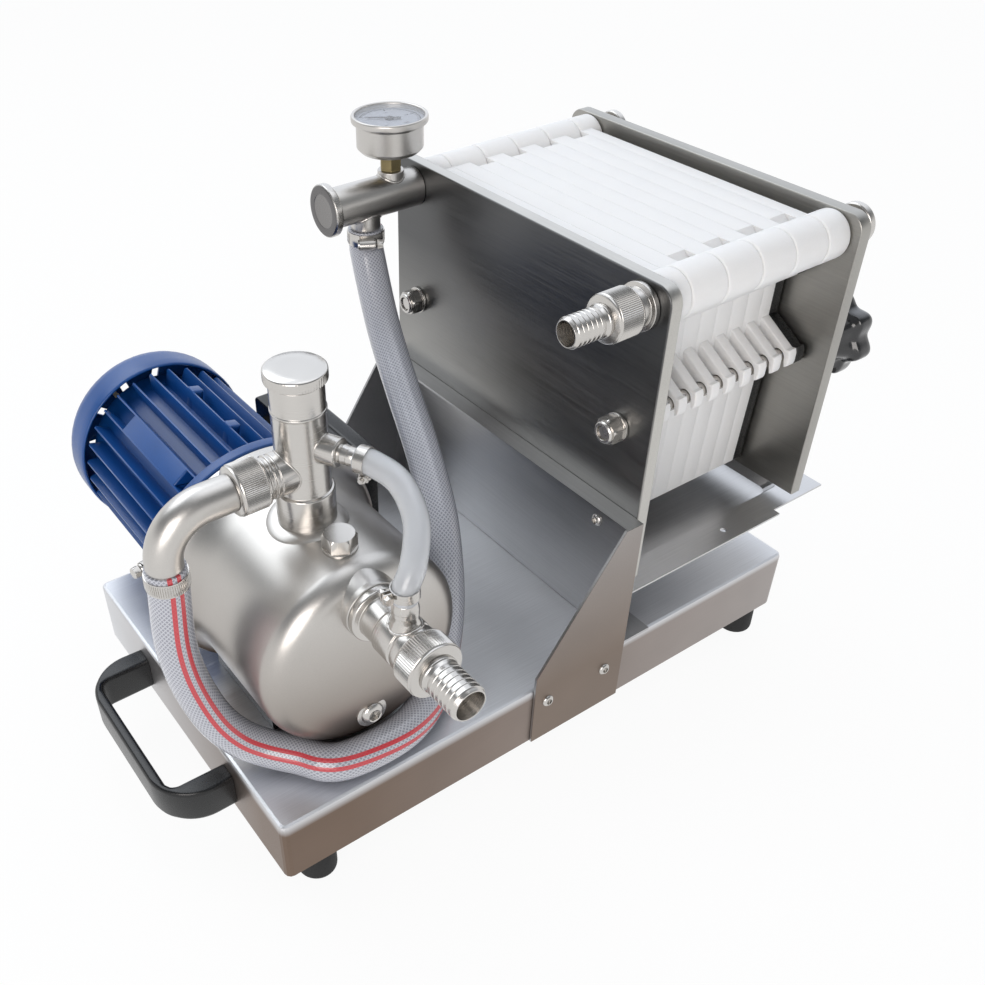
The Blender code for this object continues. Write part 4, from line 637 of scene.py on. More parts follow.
class PRESS_OT_studio(PressOperator, bpy.types.Operator):
    """Pale floor, soft lamps, world and the camera at the photograph's view"""

    bl_idname = "filter_press.add_studio"
    bl_label = "Studio"

    def execute(self, context):
        scene = context.scene
        scene.view_settings.view_transform = "Standard"
        # Three-quarter view from above the tray's near corner at the pump end
        ahead = Vector((0.41852651, 0.63642192, -0.64792183))
        right = Vector((0.82558531, -0.56390103, -0.02060378))
        up = right.cross(ahead)
        data = bpy.data.cameras.new("camera")
        data.sensor_width = 36
        data.lens = 39.62
        data.shift_x = 0.10474
        data.shift_y = 0.07125
        camera = bpy.data.objects.new("camera", data)
        camera.matrix_world = Matrix((
            (right.x, up.x, -ahead.x, TRAY.x - 0.164397),
            (right.y, up.y, -ahead.y, TRAY.y - 0.380665),
            (right.z, up.z, -ahead.z, 0.642677),
            (0, 0, 0, 1),
        ))
        scene.collection.objects.link(camera)
        scene.camera = camera

        made, tree, shader = new_material("studio_floor", Base_Color=(0.9, 0.9, 0.9, 1), Roughness=0.9)
        shader.inputs["Specular IOR Level"].default_value = 0.0
        rays = add_node(tree, "ShaderNodeLightPath")
        seen = add_node(tree, "ShaderNodeMath", {
            0: rays.outputs["Is Camera Ray"], 1: rays.outputs["Is Glossy Ray"]}, operation="MAXIMUM")
        through = add_node(tree, "ShaderNodeMath", {
            0: seen.outputs[0], 1: rays.outputs["Is Transmission Ray"]}, operation="MAXIMUM")
        share = add_node(tree, "ShaderNodeMath", {0: through.outputs[0], 1: 0.93}, operation="MULTIPLY")
        white = add_node(tree, "ShaderNodeEmission", {"Color": (1, 1, 1, 1), "Strength": 1.0})
        mixed = add_node(tree, "ShaderNodeMixShader", {
            0: share.outputs[0], 1: shader.outputs[0], 2: white.outputs[0]})
        tree.links.new(mixed.outputs[0], tree.nodes["Material Output"].inputs["Surface"])
        floor = bpy.data.meshes.new("floor")
        reach = 6.0
        floor.from_pydata([(-reach, -reach, 0), (reach, -reach, 0), (reach, reach, 0), (-reach, reach, 0)], [],
                          [(0, 1, 2, 3)])
        floor.materials.append(made)
        ground = bpy.data.objects.new("floor", floor)
        scene.collection.objects.link(ground)

        world = bpy.data.worlds.new("studio")
        scene.world = world
        world.use_nodes = True
        tree = world.node_tree
        sky = add_node(tree, "ShaderNodeTexCoord").outputs["Generated"]
        height = add_node(tree, "ShaderNodeSeparateXYZ", {0: sky})
        rise = add_node(tree, "ShaderNodeMapRange", {
            "Value": height.outputs[2], "From Min": 0.12, "From Max": 0.5}, interpolation_type="SMOOTHSTEP")
        shade = add_node(tree, "ShaderNodeMix", {
            0: rise.outputs[0], 6: (1.0, 1.0, 1.0, 1.0), 7: (0.26, 0.27, 0.28, 1.0)}, data_type="RGBA")
        toward = add_node(tree, "ShaderNodeVectorMath", {
            0: sky, 1: (0.42, 0.62, 0.66)}, operation="DOT_PRODUCT")
        patch = add_node(tree, "ShaderNodeMapRange", {
            "Value": toward.outputs["Value"], "From Min": 0.45, "From Max": 0.88}, interpolation_type="SMOOTHSTEP")
        lit = add_node(tree, "ShaderNodeMix", {
            0: patch.outputs[0], 6: shade.outputs[2], 7: (1.22, 1.28, 1.38, 1.0)}, data_type="RGBA")
        tree.links.new(lit.outputs[2], tree.nodes["Background"].inputs["Color"])

        # Name, place, target, width, height, watts, colour
        lamps = (
            ("window", (-0.45, 1.10, 1.60), (0.0, 0.05, 0.15), 1.5, 1.1, 8.5, (0.93, 0.97, 1.0)),
            ("overhead", (0.25, -0.15, 1.75), (0.0, 0.0, 0.15), 1.2, 0.9, 2.0, (0.97, 0.98, 1.0)),
            ("fill", (-1.30, -1.10, 0.90), (0.0, 0.0, 0.18), 1.0, 1.0, 13.5, (1.0, 0.95, 0.92)),
        )
        for name, place, target, width, height, power, colour in lamps:
            light = bpy.data.lights.new(name, "AREA")
            light.shape = "RECTANGLE"
            light.size = width
            light.size_y = height
            light.energy = power
            light.color = colour
            lamp = bpy.data.objects.new(name, light)
            lamp.location = place
            lamp.rotation_euler = (Vector(target) - Vector(place)).to_track_quat("-Z", "Y").to_euler()
            scene.collection.objects.link(lamp)
        return {"FINISHED"}


class PRESS_OT_finishes(PressOperator, bpy.types.Operator):
    """All materials of the rigid pieces, and those of the solids that stay as they are"""

    bl_idname = "filter_press.add_finishes"
    bl_label = "Finishes"

    def execute(self, context):
        colours = context.scene.press_colours
        for name, grain in (("x", (0.5, 30, 30)), ("y", (30, 0.5, 30)), ("z", (30, 30, 0.5))):
            turned_steel(colours, f"turned_stainless_{name}", grain)
        for make in (brushed_plate_y, ground_front_plate, satin_drum, cap_steel, polyethylene, motor_enamel):
            make(colours)
        for make in (black_nylon, glossy_nylon, black_rubber, dial_card, dial_ink, gauge_glass):
            make()
        solids = {
            "base_tray": folded_tray(colours),
            "press_support": folded_support(colours),
            "drip_tray": brushed_sheet_x(colours),
            "gauge_stem": drawn_brass(),
            "pump_foot": material_of("moulded_black_nylon"),
            "cooling_fan": fan_plastic(),
        }
        for name, material in solids.items():
            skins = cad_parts[name].data.materials
            skins.clear()
            skins.append(material)
        return {"FINISHED"}


class PRESS_OT_hoses(PressOperator, bpy.types.Operator):
    """Braided pressure hose and clear bypass hose, each on its whole route"""

    bl_idname = "filter_press.add_hoses"
    bl_label = "Hoses"

    def execute(self, context):
        sizes = context.scene.press_sizes
        step = 0.004
        path = smooth_path(MAIN_ROUTE, step)
        share = np.clip((np.arange(len(path)) * step - 0.19) / 0.23, 0, 1)
        twist = np.radians(86 * share ** 2 * (3 - 2 * share))
        skin = hose_wall(path, sizes.hose / 2, 0.003, 48, twist)
        held_hose("pressure_hose", skin, braided_vinyl(context.scene.press_colours), "main_hose")

        across = np.array((math.cos(BYPASS_TURN), math.sin(BYPASS_TURN), 0))
        start = np.array((PUMP_X, COLUMN_Y, BYPASS_Z)) + across * 0.0383
        end = np.array((PUMP_X, SUCTION_Y - 0.0315, SUCTION_Z + 0.0323))
        between = np.array([(0.111, 0.026, 0.207), (0.107, 0.004, 0.196), (0.094, -0.012, 0.182)])
        route = [start, start + across * 0.008, *(between + (TRAY.x, TRAY.y, TRAY_TOP)),
                 end + (0, 0, 0.008), end]
        path = smooth_path(route, 0.003)
        skin = hose_wall(path, sizes.bypass / 2, 0.0022, 32, 0.0)
        held_hose("clear_bypass_hose", skin, clear_vinyl(), "bypass_hose")
        return {"FINISHED"}


def held_hose(name, skin, material, solid):
    """Hose that fittings hold at both ends, made as one piece on its whole route."""
    hose = piece(name, [skin], material, replaces=(solid,), sharp=60)


def hose_wall(path, radius, wall, sides, start_turn):
    """Hose with a bore: the outer tube, and the inner one joined to it at both ends as one closed skin."""
    outer, _, uv = tube(path, radius, sides, start_turn)
    inner, _, _ = tube(path, radius - wall, sides, start_turn)
    rows = len(path)

    def backwards(values):
        return values.reshape(rows, sides + 1, -1)[::-1].reshape(len(values), -1)

    points = np.concatenate([outer, backwards(inner)])
    faces = grid_faces(2 * rows, sides + 1, False)
    first = np.arange(sides)
    last_row = (2 * rows - 1) * (sides + 1)
    close = np.stack([last_row + first, last_row + first + 1, first + 1, first], -1)
    return points, np.concatenate([faces, close]), np.concatenate([uv, backwards(uv)])


class PRESS_OT_pump(PressOperator, bpy.types.Operator):
    """Drawn pump drum with its face, port boss, plugs and clamp ring"""

    bl_idname = "filter_press.add_pump"
    bl_label = "Pump"

    def execute(self, context):
        satin = material_of("satin_drawn_stainless")
        turned_y = material_of("turned_stainless_y")
        origin = (PUMP_X, PUMP_FRONT, PUMP_Z)
        turn = np.linspace(0, math.pi / 2, 13)
        dome = [(r, -0.022 + 0.006 * (r / 0.055) ** 2) for r in np.linspace(0, 0.055, 9)]
        shoulder = np.stack([0.055 + 0.016 * np.sin(turn), -0.016 * np.cos(turn)], -1)
        flare = np.stack([DRUM_RADIUS + 0.0105 * (1 - np.cos(turn)), 0.104 - 0.030 * (1 - np.sin(turn))], -1)
        rim = soften([flare[-1], (0.0815, 0.118), (0.0, 0.118)], 0.001)
        profile = np.concatenate([dome, shoulder[1:], flare, rim[1:]])
        drum = revolve(profile, origin, FAR, 160)
        port = revolve(soften([(0, 0), (0.0195, 0), (0.0195, 0.004), (0.0225, 0.016), (0, 0.016)], 0.0008),
                       (PUMP_X, SUCTION_Y + GAP, SUCTION_Z), FAR, 96)
        piece("pump_drum", [drum, port], satin, replaces=("pump_casing",))
        ring = [(0.0812, 0.1045), (0.0822, 0.1055), (0.0824, 0.111), (0.0822, 0.1165), (0.0812, 0.1175),
                (0.0812, 0.1045)]
        piece("pump_clamp_ring", [revolve(ring, origin, FAR, 160)], turned_y)
        top = (PUMP_X, TRAY.y + 0.0515, PUMP_Z + 0.0700)
        base = bar(0.0110, 0.0024, 0.0004)
        plugs = [revolve(base, top, UP, 64), hex_head(np.array(top) + (0, 0, 0.0022), UP, 0.019, 0.0095),
                 revolve(bar(0.0112, 0.0022, 0.0006),
                         (PUMP_X - 0.003, PUMP_FRONT - 0.0170, PUMP_Z - 0.044), NEAR, 64),
                 socket_screw((PUMP_X - 0.003, PUMP_FRONT - 0.0190, PUMP_Z - 0.044), NEAR, 0.0082)]
        piece("pump_plugs", plugs, turned_y, sharp=30)
        piece("column_pad", [column_pad()], satin, sharp=50)
        return {"FINISHED"}


def column_pad():
    """Raised pad pressed into the drum's top round the column's foot: radius from the column, turn about it."""
    radius = np.concatenate([[0.017], np.linspace(0.019, 0.026, 10)])[:, None]
    rise = np.concatenate([[0.0016], 0.0016 * np.cos(np.linspace(0, math.pi / 2, 10)) ** 0.7 - 0.0001])[:, None]
    turn = np.linspace(0, math.tau, 96, endpoint=False)[None]
    x, y = radius * np.cos(turn), radius * np.sin(turn)
    z = np.sqrt(DRUM_RADIUS ** 2 - x ** 2) + rise
    points = np.stack([x + PUMP_X, y + COLUMN_Y, z + PUMP_Z], -1)
    under = points[::-1] - (0, 0, 0.003)
    skin = np.concatenate([points, under, points[:1]])
    return skin.reshape(-1, 3), grid_faces(len(skin), 96)


class PRESS_OT_column(PressOperator, bpy.types.Operator):
    """Valve column with its branch, nipple, weld beads, knurled cap, union nut and bent pipe"""

    bl_idname = "filter_press.add_column"
    bl_label = "Valve column"

    def execute(self, context):
        sizes = context.scene.press_sizes
        turned_z = material_of("turned_stainless_z")
        turned_x = material_of("turned_stainless_x")
        foot = (PUMP_X, COLUMN_Y, COLUMN_FOOT)
        body = soften([
            (0, -0.003), (0.0185, -0.003), (0.0185, 0.0222), (0.0178, 0.0230), (0.0165, 0.0232), (0.0165, 0.0770),
            (0.0169, 0.0774), (0.0169, 0.0786), (0.0163, 0.0790), (0.0163, 0.0955), (0.0, 0.0957)], 0.0004)
        parts = [revolve(body, foot, UP, 96)]
        branch = soften([(0, 0), (0.0135, 0), (0.0135, 0.0205), (0.0128, 0.0209), (0.0128, 0.0222), (0.0137, 0.0226),
                         (0.0137, 0.0242), (0.0128, 0.0246), (0.0128, 0.0262), (0.0135, 0.0266), (0.0135, 0.0278),
                         (0, 0.0278)], 0.0003)
        parts.append(revolve(branch, (PUMP_X, COLUMN_Y, BRANCH_Z), LEFT, 72))
        across = (math.cos(BYPASS_TURN), math.sin(BYPASS_TURN), 0)
        nipple = [(0, 0), (0.0090, 0), (0.0090, 0.0262), (0.0082, 0.0270), (0.0058, 0.0272), (0.0058, 0.0290),
                  (0.0062, 0.0292), (0.0056, 0.0330), (0.0062, 0.0332), (0.0055, 0.0378), (0, 0.0378)]
        parts.append(revolve(soften(nipple, 0.0003), (PUMP_X, COLUMN_Y, BYPASS_Z), across, 64))
        piece("valve_column_body", parts, turned_z, replaces=("valve_column",))
        beads = [
            saddle_bead((PUMP_X, COLUMN_Y, BRANCH_Z), UP, LEFT, 0.0165, 0.0135, sizes.weld * 0.7),
            saddle_bead((PUMP_X, COLUMN_Y, BYPASS_Z), UP, across, 0.0165, 0.0090, sizes.weld * 0.6),
        ]
        piece("column_weld_beads", beads, turned_z, sharp=80)
        cap = [(0, 0), (0.0172, 0), (0.0186, 0.0008), (0.0188, 0.0016), (0.0188, 0.0062), (0.0186, 0.0070),
               (0.0178, 0.0076), (0.010, 0.0079), (0, 0.0081)]
        ribs = ribbed(66, sizes.knurl, 0.0010, 0.0060)
        piece("column_cap", [revolve(cap, (PUMP_X, COLUMN_Y, COLUMN_FOOT + 0.0963), UP, 396, ribs)], turned_z,
              replaces=("valve_cap",), sharp=50)
        union_nut("elbow", (PUMP_X - 0.0283, COLUMN_Y, BRANCH_Z), LEFT, 0.0160, 0.020, 84, sizes.knurl, turned_x)
        turn = np.linspace(math.pi / 2, math.pi, 25)
        bend = np.stack([PUMP_X - 0.0656 + 0.030 * np.cos(turn), 0 * turn + COLUMN_Y,
                         BRANCH_Z - 0.030 + 0.030 * np.sin(turn)], -1)
        path = np.concatenate([[(PUMP_X - 0.0486, COLUMN_Y, BRANCH_Z)], bend,
                               [(PUMP_X - 0.0956, COLUMN_Y, BRANCH_Z - 0.033)]])
        piece("bent_pipe", [capped_tube(path, 0.0116, 64)], material_of("satin_drawn_stainless"),
              replaces=("elbow_pipe",), sharp=60)
        return {"FINISHED"}


def capped_tube(path, radius, sides):
    """Round bar along a path, with a flat disc on each end."""
    path = np.array(path, float)
    widths = np.full(len(path) + 2, radius)
    widths[0] = widths[-1] = 1e-7
    shifted = np.concatenate([path[:1] + (path[0] - path[1]) * 1e-6, path, path[-1:] + (path[-1] - path[-2]) * 1e-6])
    points, faces, _ = tube(shifted, widths, sides)
    return points, faces


def union_nut(place, origin, axis, radius, length, ribs, depth, steel):
    """Union nut: plain rings at its ends and a band of rounded ribs between them."""
    profile = [(0, 0), (radius - 0.0016, 0), (radius - 0.0006, 0.0008), (radius - 0.0006, 0.0016)]
    profile += [(radius, 0.0022), (radius, 0.0024)]
    profile += [(radius, h) for h in np.linspace(0.0030, length - 0.0030, 8)]
    profile += [(radius, length - 0.0024), (radius, length - 0.0022), (radius - 0.0006, length - 0.0016)]
    profile += [(radius - 0.0006, length - 0.0008), (radius - 0.0016, length), (0, length)]
    shape = revolve(profile, origin, axis, ribs * 6, ribbed(ribs, depth, 0.0023, length - 0.0023))
    piece(f"{place}_nut_knurled", [shape], steel, replaces=(f"{place}_union_nut",), sharp=50)


def barbed_tail(origin, axis, radius, bore, length):
    """Hose tail: a row of low barbs, each a slow rise and a quick drop, a chamfered end and an open bore."""
    profile = [(0, 0), (radius + 0.0006, 0), (radius + 0.0006, length * 0.08), (radius, length * 0.10)]
    start, step = length * 0.18, length * 0.125
    for i in range(6):
        low = start + i * step
        profile += [(radius - 0.0005, low), (radius - 0.0001, low + step * 0.80), (radius - 0.0001, low + step * 0.90)]
    profile += [(radius - 0.0006, start + 6 * step), (radius - 0.0014, length), (bore, length),
                (bore, length * 0.12), (0, length * 0.12)]
    return revolve(soften(profile, 0.00025, 2), origin, axis, 80)


class PRESS_OT_suction(PressOperator, bpy.types.Operator):
    """Suction fitting on the pump's face: collar, tee, knurled nut and barbed tail"""

    bl_idname = "filter_press.add_suction"
    bl_label = "Suction fitting"

    def execute(self, context):
        sizes = context.scene.press_sizes
        turned_y = material_of("turned_stainless_y")
        origin = (PUMP_X, SUCTION_Y, SUCTION_Z)
        body = soften([
            (0, 0), (0.0190, 0), (0.0190, 0.0042), (0.0184, 0.0050), (0.0148, 0.0052), (0.0145, 0.0180),
            (0.0152, 0.0192), (0.0160, 0.0198), (0.0160, 0.0350), (0.0150, 0.0354), (0.0150, 0.0372),
            (0.0160, 0.0376), (0.0160, 0.0434), (0, 0.0434)], 0.0005)
        branch_y = SUCTION_Y - 0.0315
        branch = soften([(0, 0), (0.0098, 0), (0.0098, 0.0135), (0.0078, 0.0190), (0.0075, 0.0225), (0.0082, 0.0228),
                         (0.0078, 0.0258), (0.0082, 0.0262), (0.0072, 0.0318), (0, 0.0318)], 0.0006)
        parts = [revolve(body, origin, NEAR, 96),
                 revolve(branch, (PUMP_X, branch_y, SUCTION_Z), UP, 64)]
        piece("suction_tee_body", parts, turned_y, replaces=("suction_tee",))
        bead = saddle_bead((PUMP_X, branch_y, SUCTION_Z), NEAR, UP, 0.0160, 0.0098, sizes.weld)
        piece("tee_weld_bead", [bead], turned_y, sharp=80)
        union_nut("suction", (PUMP_X, SUCTION_Y - 0.0438, SUCTION_Z), NEAR, 0.0185, 0.018, 72,
                  sizes.knurl * 1.2, turned_y)
        tail = barbed_tail((PUMP_X, SUCTION_Y - 0.0621, SUCTION_Z), NEAR, 0.0118, 0.0095, 0.030)
        piece("suction_tail_barbed", [tail], turned_y, replaces=("suction_tail",))
        return {"FINISHED"}


class PRESS_OT_channels(PressOperator, bpy.types.Operator):
    """Inlet manifold, its cap, the outlet fitting and the plugs behind the sliding plate"""

    bl_idname = "filter_press.add_channels"
    bl_label = "Channel fittings"

    def execute(self, context):
        sizes = context.scene.press_sizes
        turned_x = material_of("turned_stainless_x")
        far = (PLATE_X - GAP, FAR_CHANNEL_Y, CHANNEL_Z)
        tube_line = bar(0.0140, 0.0720, 0.0003)
        stub = bar(0.0110, 0.0200, 0.0005)
        boss = bar(0.0095, 0.0170, 0.0005)
        parts = [revolve(tube_line, far, LEFT, 80),
                 revolve(stub, (HOSE_STUB_X, FAR_CHANNEL_Y, CHANNEL_Z), DOWN, 64),
                 revolve(boss, (GAUGE_X, FAR_CHANNEL_Y, CHANNEL_Z), UP, 64)]
        satin = material_of("satin_drawn_stainless")
        piece("manifold_tube", parts, satin, replaces=("inlet_manifold",))
        beads = [
            saddle_bead((HOSE_STUB_X, FAR_CHANNEL_Y, CHANNEL_Z), RIGHT, DOWN, 0.014, 0.011, sizes.weld),
            saddle_bead((GAUGE_X, FAR_CHANNEL_Y, CHANNEL_Z), RIGHT, UP, 0.014, 0.0095, sizes.weld),
        ]
        piece("manifold_weld_beads", beads, satin, sharp=80)
        cap = soften([(0, 0), (0.0172, 0), (0.0185, 0.0010), (0.0185, 0.0055), (0.0172, 0.0065), (0.0120, 0.0065),
                      (0.0116, 0.0062), (0, 0.0062)], 0.0004)
        piece("manifold_end_cap", [revolve(cap, (PLATE_X - 0.0726, FAR_CHANNEL_Y, CHANNEL_Z), LEFT, 96)],
              material_of("turned_cap_steel"), replaces=("manifold_cap",))
        spigot = soften([(0, 0), (0.0155, 0), (0.0155, 0.0035), (0.0125, 0.0042), (0.0125, 0.0100), (0, 0.0100)],
                        0.0004)
        piece("outlet_collar", [revolve(spigot, (PLATE_X - GAP, NEAR_CHANNEL_Y, CHANNEL_Z), LEFT, 80)], turned_x,
              replaces=("outlet_spigot",))
        union_nut("outlet", (PLATE_X - 0.0106, NEAR_CHANNEL_Y, CHANNEL_Z), LEFT, 0.0155, 0.021, 76,
                  sizes.knurl, turned_x)
        tail = barbed_tail((PLATE_X - 0.0319, NEAR_CHANNEL_Y, CHANNEL_Z), LEFT, 0.0100, 0.0078, 0.028)
        piece("outlet_tail_barbed", [tail], turned_x, replaces=("outlet_tail",))
        plug = soften([(0, 0), (0.0105, 0), (0.0105, 0.0120), (0.0135, 0.0120), (0.0145, 0.0128), (0.0145, 0.0170),
                       (0.0135, 0.0180), (0, 0.0180)], 0.0003)
        for side, y in (("near", NEAR_CHANNEL_Y), ("far", FAR_CHANNEL_Y)):
            shape = revolve(plug, (REAR_BACK + GAP, y, CHANNEL_Z), RIGHT, 80)
            piece(f"channel_plug_turned_{side}", [shape], turned_x, SLIDING,
                  replaces=(f"channel_plug_{side}",))
        return {"FINISHED"}


class PRESS_OT_gauge(PressOperator, bpy.types.Operator):
    """Pressure gauge: case, bezel, dial with its scale, pointer and window"""

    bl_idname = "filter_press.add_gauge"
    bl_label = "Pressure gauge"

    def execute(self, context):
        origin = np.array((GAUGE_X, FAR_CHANNEL_Y, GAUGE_Z))
        case = soften([
            (0, 0), (0.0208, 0), (0.0238, 0.0030), (0.0238, 0.0186), (0.0244, 0.0194), (0.0256, 0.0199),
            (0.0270, 0.0204), (0.0272, 0.0212), (0.0272, 0.0240), (0.0266, 0.0250), (0.0254, 0.0250),
            (0.0246, 0.0244), (0.0246, 0.0205), (0, 0.0205)], 0.0005)
        piece("gauge_case", [revolve(case, origin, UP, 128)], material_of("satin_drawn_stainless"),
              replaces=("pressure_gauge",))
        card = [(0, 0.0206), (0.0244, 0.0206), (0.0244, 0.0212), (0, 0.0212)]
        piece("gauge_dial", [revolve(card, origin, UP, 96)], material_of("enamelled_dial"))
        face, ink = 0.0212, 0.00008
        start, sweep = 135, 270
        marks = []
        for i in range(41):
            turn = math.radians(start - sweep * i / 40)
            inner, width = (0.0176, 0.00050) if i % 10 == 0 else (0.0188, 0.00032) if i % 5 == 0 else (0.0196, 0.00022)
            marks.append(tapered(origin, turn, inner, 0.0215, width, width, face, ink))
        marks.append(arc_band(origin, 0.0213, 0.0218, face, ink))
        piece("gauge_scale", marks, material_of("printed_black"))
        turn = math.radians(141)
        tip = tapered(origin, turn, -0.0080, 0.0172, 0.0016, 0.0004, face + 0.0009, 0.0004)
        hub = revolve(soften([(0, 0), (0.0032, 0), (0.0032, 0.0010), (0.0022, 0.0016), (0, 0.0016)], 0.0003),
                      origin + (0, 0, face), UP, 40)
        piece("gauge_pointer", [tip, hub], material_of("printed_black"))
        window = soften([(0, 0.0234), (0.0245, 0.0234), (0.0245, 0.0240), (0.018, 0.0243), (0, 0.0244)], 0.0002)
        glass = piece("gauge_window", [revolve(window, origin, UP, 96)], material_of("acrylic_window"))
        glass.visible_shadow = False
        for i in range(5):
            numeral(str(i), origin + (0, 0, face), math.radians(start - sweep * i / 4), 0.0138, 0.0046)
        return {"FINISHED"}


def slab(corners, low, height):
    """Flat block on a four-cornered outline."""
    base = np.array([(x, y, low) for x, y in corners])
    points = np.concatenate([base, base + (0, 0, height)])
    faces = np.array([(3, 2, 1, 0), (4, 5, 6, 7), (0, 1, 5, 4), (1, 2, 6, 5), (2, 3, 7, 6), (3, 0, 4, 7)])
    return points, faces


def tapered(origin, turn, start, end, wide, narrow, low, height):
    """Radial block on the dial whose half width changes from wide at its start to narrow at its end."""
    out = np.array((math.cos(turn), math.sin(turn)))
    side = np.array((-out[1], out[0]))
    centre = np.array(origin[:2])
    corners = [centre + out * start - side * wide, centre + out * end - side * narrow,
               centre + out * end + side * narrow, centre + out * start + side * wide]
    return slab(corners, origin[2] + low, height)


def arc_band(origin, inner, outer, low, height):
    """Thin band round the dial over the scale's 270 degrees."""
    turn = np.radians(np.linspace(-135, 135, 91))
    ring = [(inner, low), (outer, low), (outer, low + height), (inner, low + height)]
    points = np.array([[(r * math.cos(t), r * math.sin(t), h) for r, h in ring] for t in turn])
    faces = np.concatenate([grid_faces(91, 4), [(3, 2, 1, 0), (360, 361, 362, 363)]])
    return points.reshape(-1, 3) + origin, faces


def numeral(text, origin, turn, radius, size):
    """One number of the scale, made a mesh and laid upright on the dial, whose top points along X."""
    data = bpy.data.curves.new("numeral", "FONT")
    data.body = text
    data.size = size
    data.align_x = "CENTER"
    data.align_y = "CENTER"
    data.extrude = 0.00004
    writing = bpy.data.objects.new("numeral", data)
    bpy.context.scene.collection.objects.link(writing)
    graph = bpy.context.evaluated_depsgraph_get()
    shape = bpy.data.meshes.new_from_object(writing.evaluated_get(graph))
    bpy.data.objects.remove(writing)
    place = Vector(origin) + Vector((math.cos(turn), math.sin(turn), 0)) * radius + Vector((0, 0, 0.00008))
    shape.transform(Matrix.Translation(place) @ Matrix.Rotation(-math.pi / 2, 4, "Z"))
    shape.materials.clear()
    shape.materials.append(material_of("printed_black"))
    made = bpy.data.objects.new(f"gauge_number_{text}", shape)
    bpy.context.scene.collection.objects.link(made)
    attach(made, MACHINE)


class PRESS_OT_clamps(PressOperator, bpy.types.Operator):
    """Worm-drive clamps on the pressure hose and small bolt clamps on the bypass"""

    bl_idname = "filter_press.add_clamps"
    bl_label = "Hose clamps"

    def execute(self, context):
        sizes = context.scene.press_sizes
        steel = material_of("turned_stainless_z")
        for name, place, toward in (
                ("clamp_elbow", (PUMP_X - 0.0956, COLUMN_Y, BRANCH_Z - 0.0413), (-0.2, 1.0, 0)),
                ("clamp_manifold", (HOSE_STUB_X, FAR_CHANNEL_Y, CHANNEL_Z - 0.0262), (-0.6, -1.0, 0))):
            worm_clamp(name, place, UP, sizes.hose / 2, sizes.clamp_band, toward, steel)
        across = np.array((math.cos(BYPASS_TURN), math.sin(BYPASS_TURN), 0))
        bolt_clamp("clamp_nipple", np.array((PUMP_X, COLUMN_Y, BYPASS_Z)) + across * 0.0425, across,
                   sizes.bypass / 2, (0, 0, -1.0), steel)
        bolt_clamp("clamp_tee", (PUMP_X, SUCTION_Y - 0.0315, SUCTION_Z + 0.0385), UP, sizes.bypass / 2,
                   (-0.95, 0.15, 0), steel)
        return {"FINISHED"}


def bolt_clamp(name, centre, axis, radius, toward, material):
    """Narrow band whose two bent ears are drawn together by a small hexagon bolt."""
    half = 0.0032
    band = [(radius + 0.0001, -half), (radius + 0.0009, -half), (radius + 0.0009, half), (radius + 0.0001, half),
            (radius + 0.0001, -half)]
    z = np.array(axis, float)
    out = np.array(toward, float) - z * np.dot(toward, z)
    out /= np.linalg.norm(out)
    side = np.cross(z, out)
    parts = [revolve(band, centre, axis, 64)]
    for offset in (-0.0019, 0.0011):
        outline = rounded_rectangle(-half, half, radius, radius + 0.0066, 0.0012, 3)
        parts += extrude(outline, offset, offset + 0.0008, 0.0002, centre, side, out, 2)
    middle = np.array(centre, float) + out * (radius + 0.0038)
    parts.append(revolve([(0, 0), (0.0015, 0), (0.0015, 0.0100), (0, 0.0100)], middle - side * 0.0060, side, 24))
    parts.append(hex_head(middle + side * 0.0019, side, 0.0050, 0.0030, out))
    parts.append(hex_head(middle - side * 0.0019, -side, 0.0050, 0.0022, out))
    return piece(name, parts, material, sharp=40)


def worm_clamp(name, centre, axis, radius, width, toward, material):
    """Band round the hose with stamped slots, a bridge for the worm and its hexagon screw."""
    half = width / 2
    band = [(radius + 0.00005, -half), (radius + 0.0008, -half), (radius + 0.0008, -half + 0.0009),
            (radius + 0.0011, -half + 0.0014), (radius + 0.0011, half - 0.0014), (radius + 0.0008, half - 0.0009),
            (radius + 0.0008, half), (radius + 0.00005, half), (radius + 0.00005, -half)]

    def slots(r, h, t):
        stamped = (np.abs(h) < half - 0.0012) & (r > radius + 0.0010) & (t > math.radians(60)) & (t < math.radians(300))
        return r - 0.00045 * stamped * (np.sin(t * 62) > 0.2)

    parts = [revolve(band, centre, axis, 496, slots, toward)]
    z = np.array(axis, float)
    out = np.array(toward, float) / np.linalg.norm(toward)
    side = np.cross(z, out)
    middle = np.array(centre) + out * (radius + 0.0046)
    screw = soften([(0, 0), (0.0036, 0), (0.0036, 0.0125), (0.0030, 0.0135), (0, 0.0135)], 0.0004)
    parts.append(revolve(screw, middle - side * 0.0065, side, 40, None, out))
    parts.append(hex_head(middle + side * 0.0075, side, 0.0065, 0.0040, out))
    parts.append(bridge(np.array(centre), out, side, z, radius + 0.0007, half))
    return piece(name, parts, material, sharp=40)


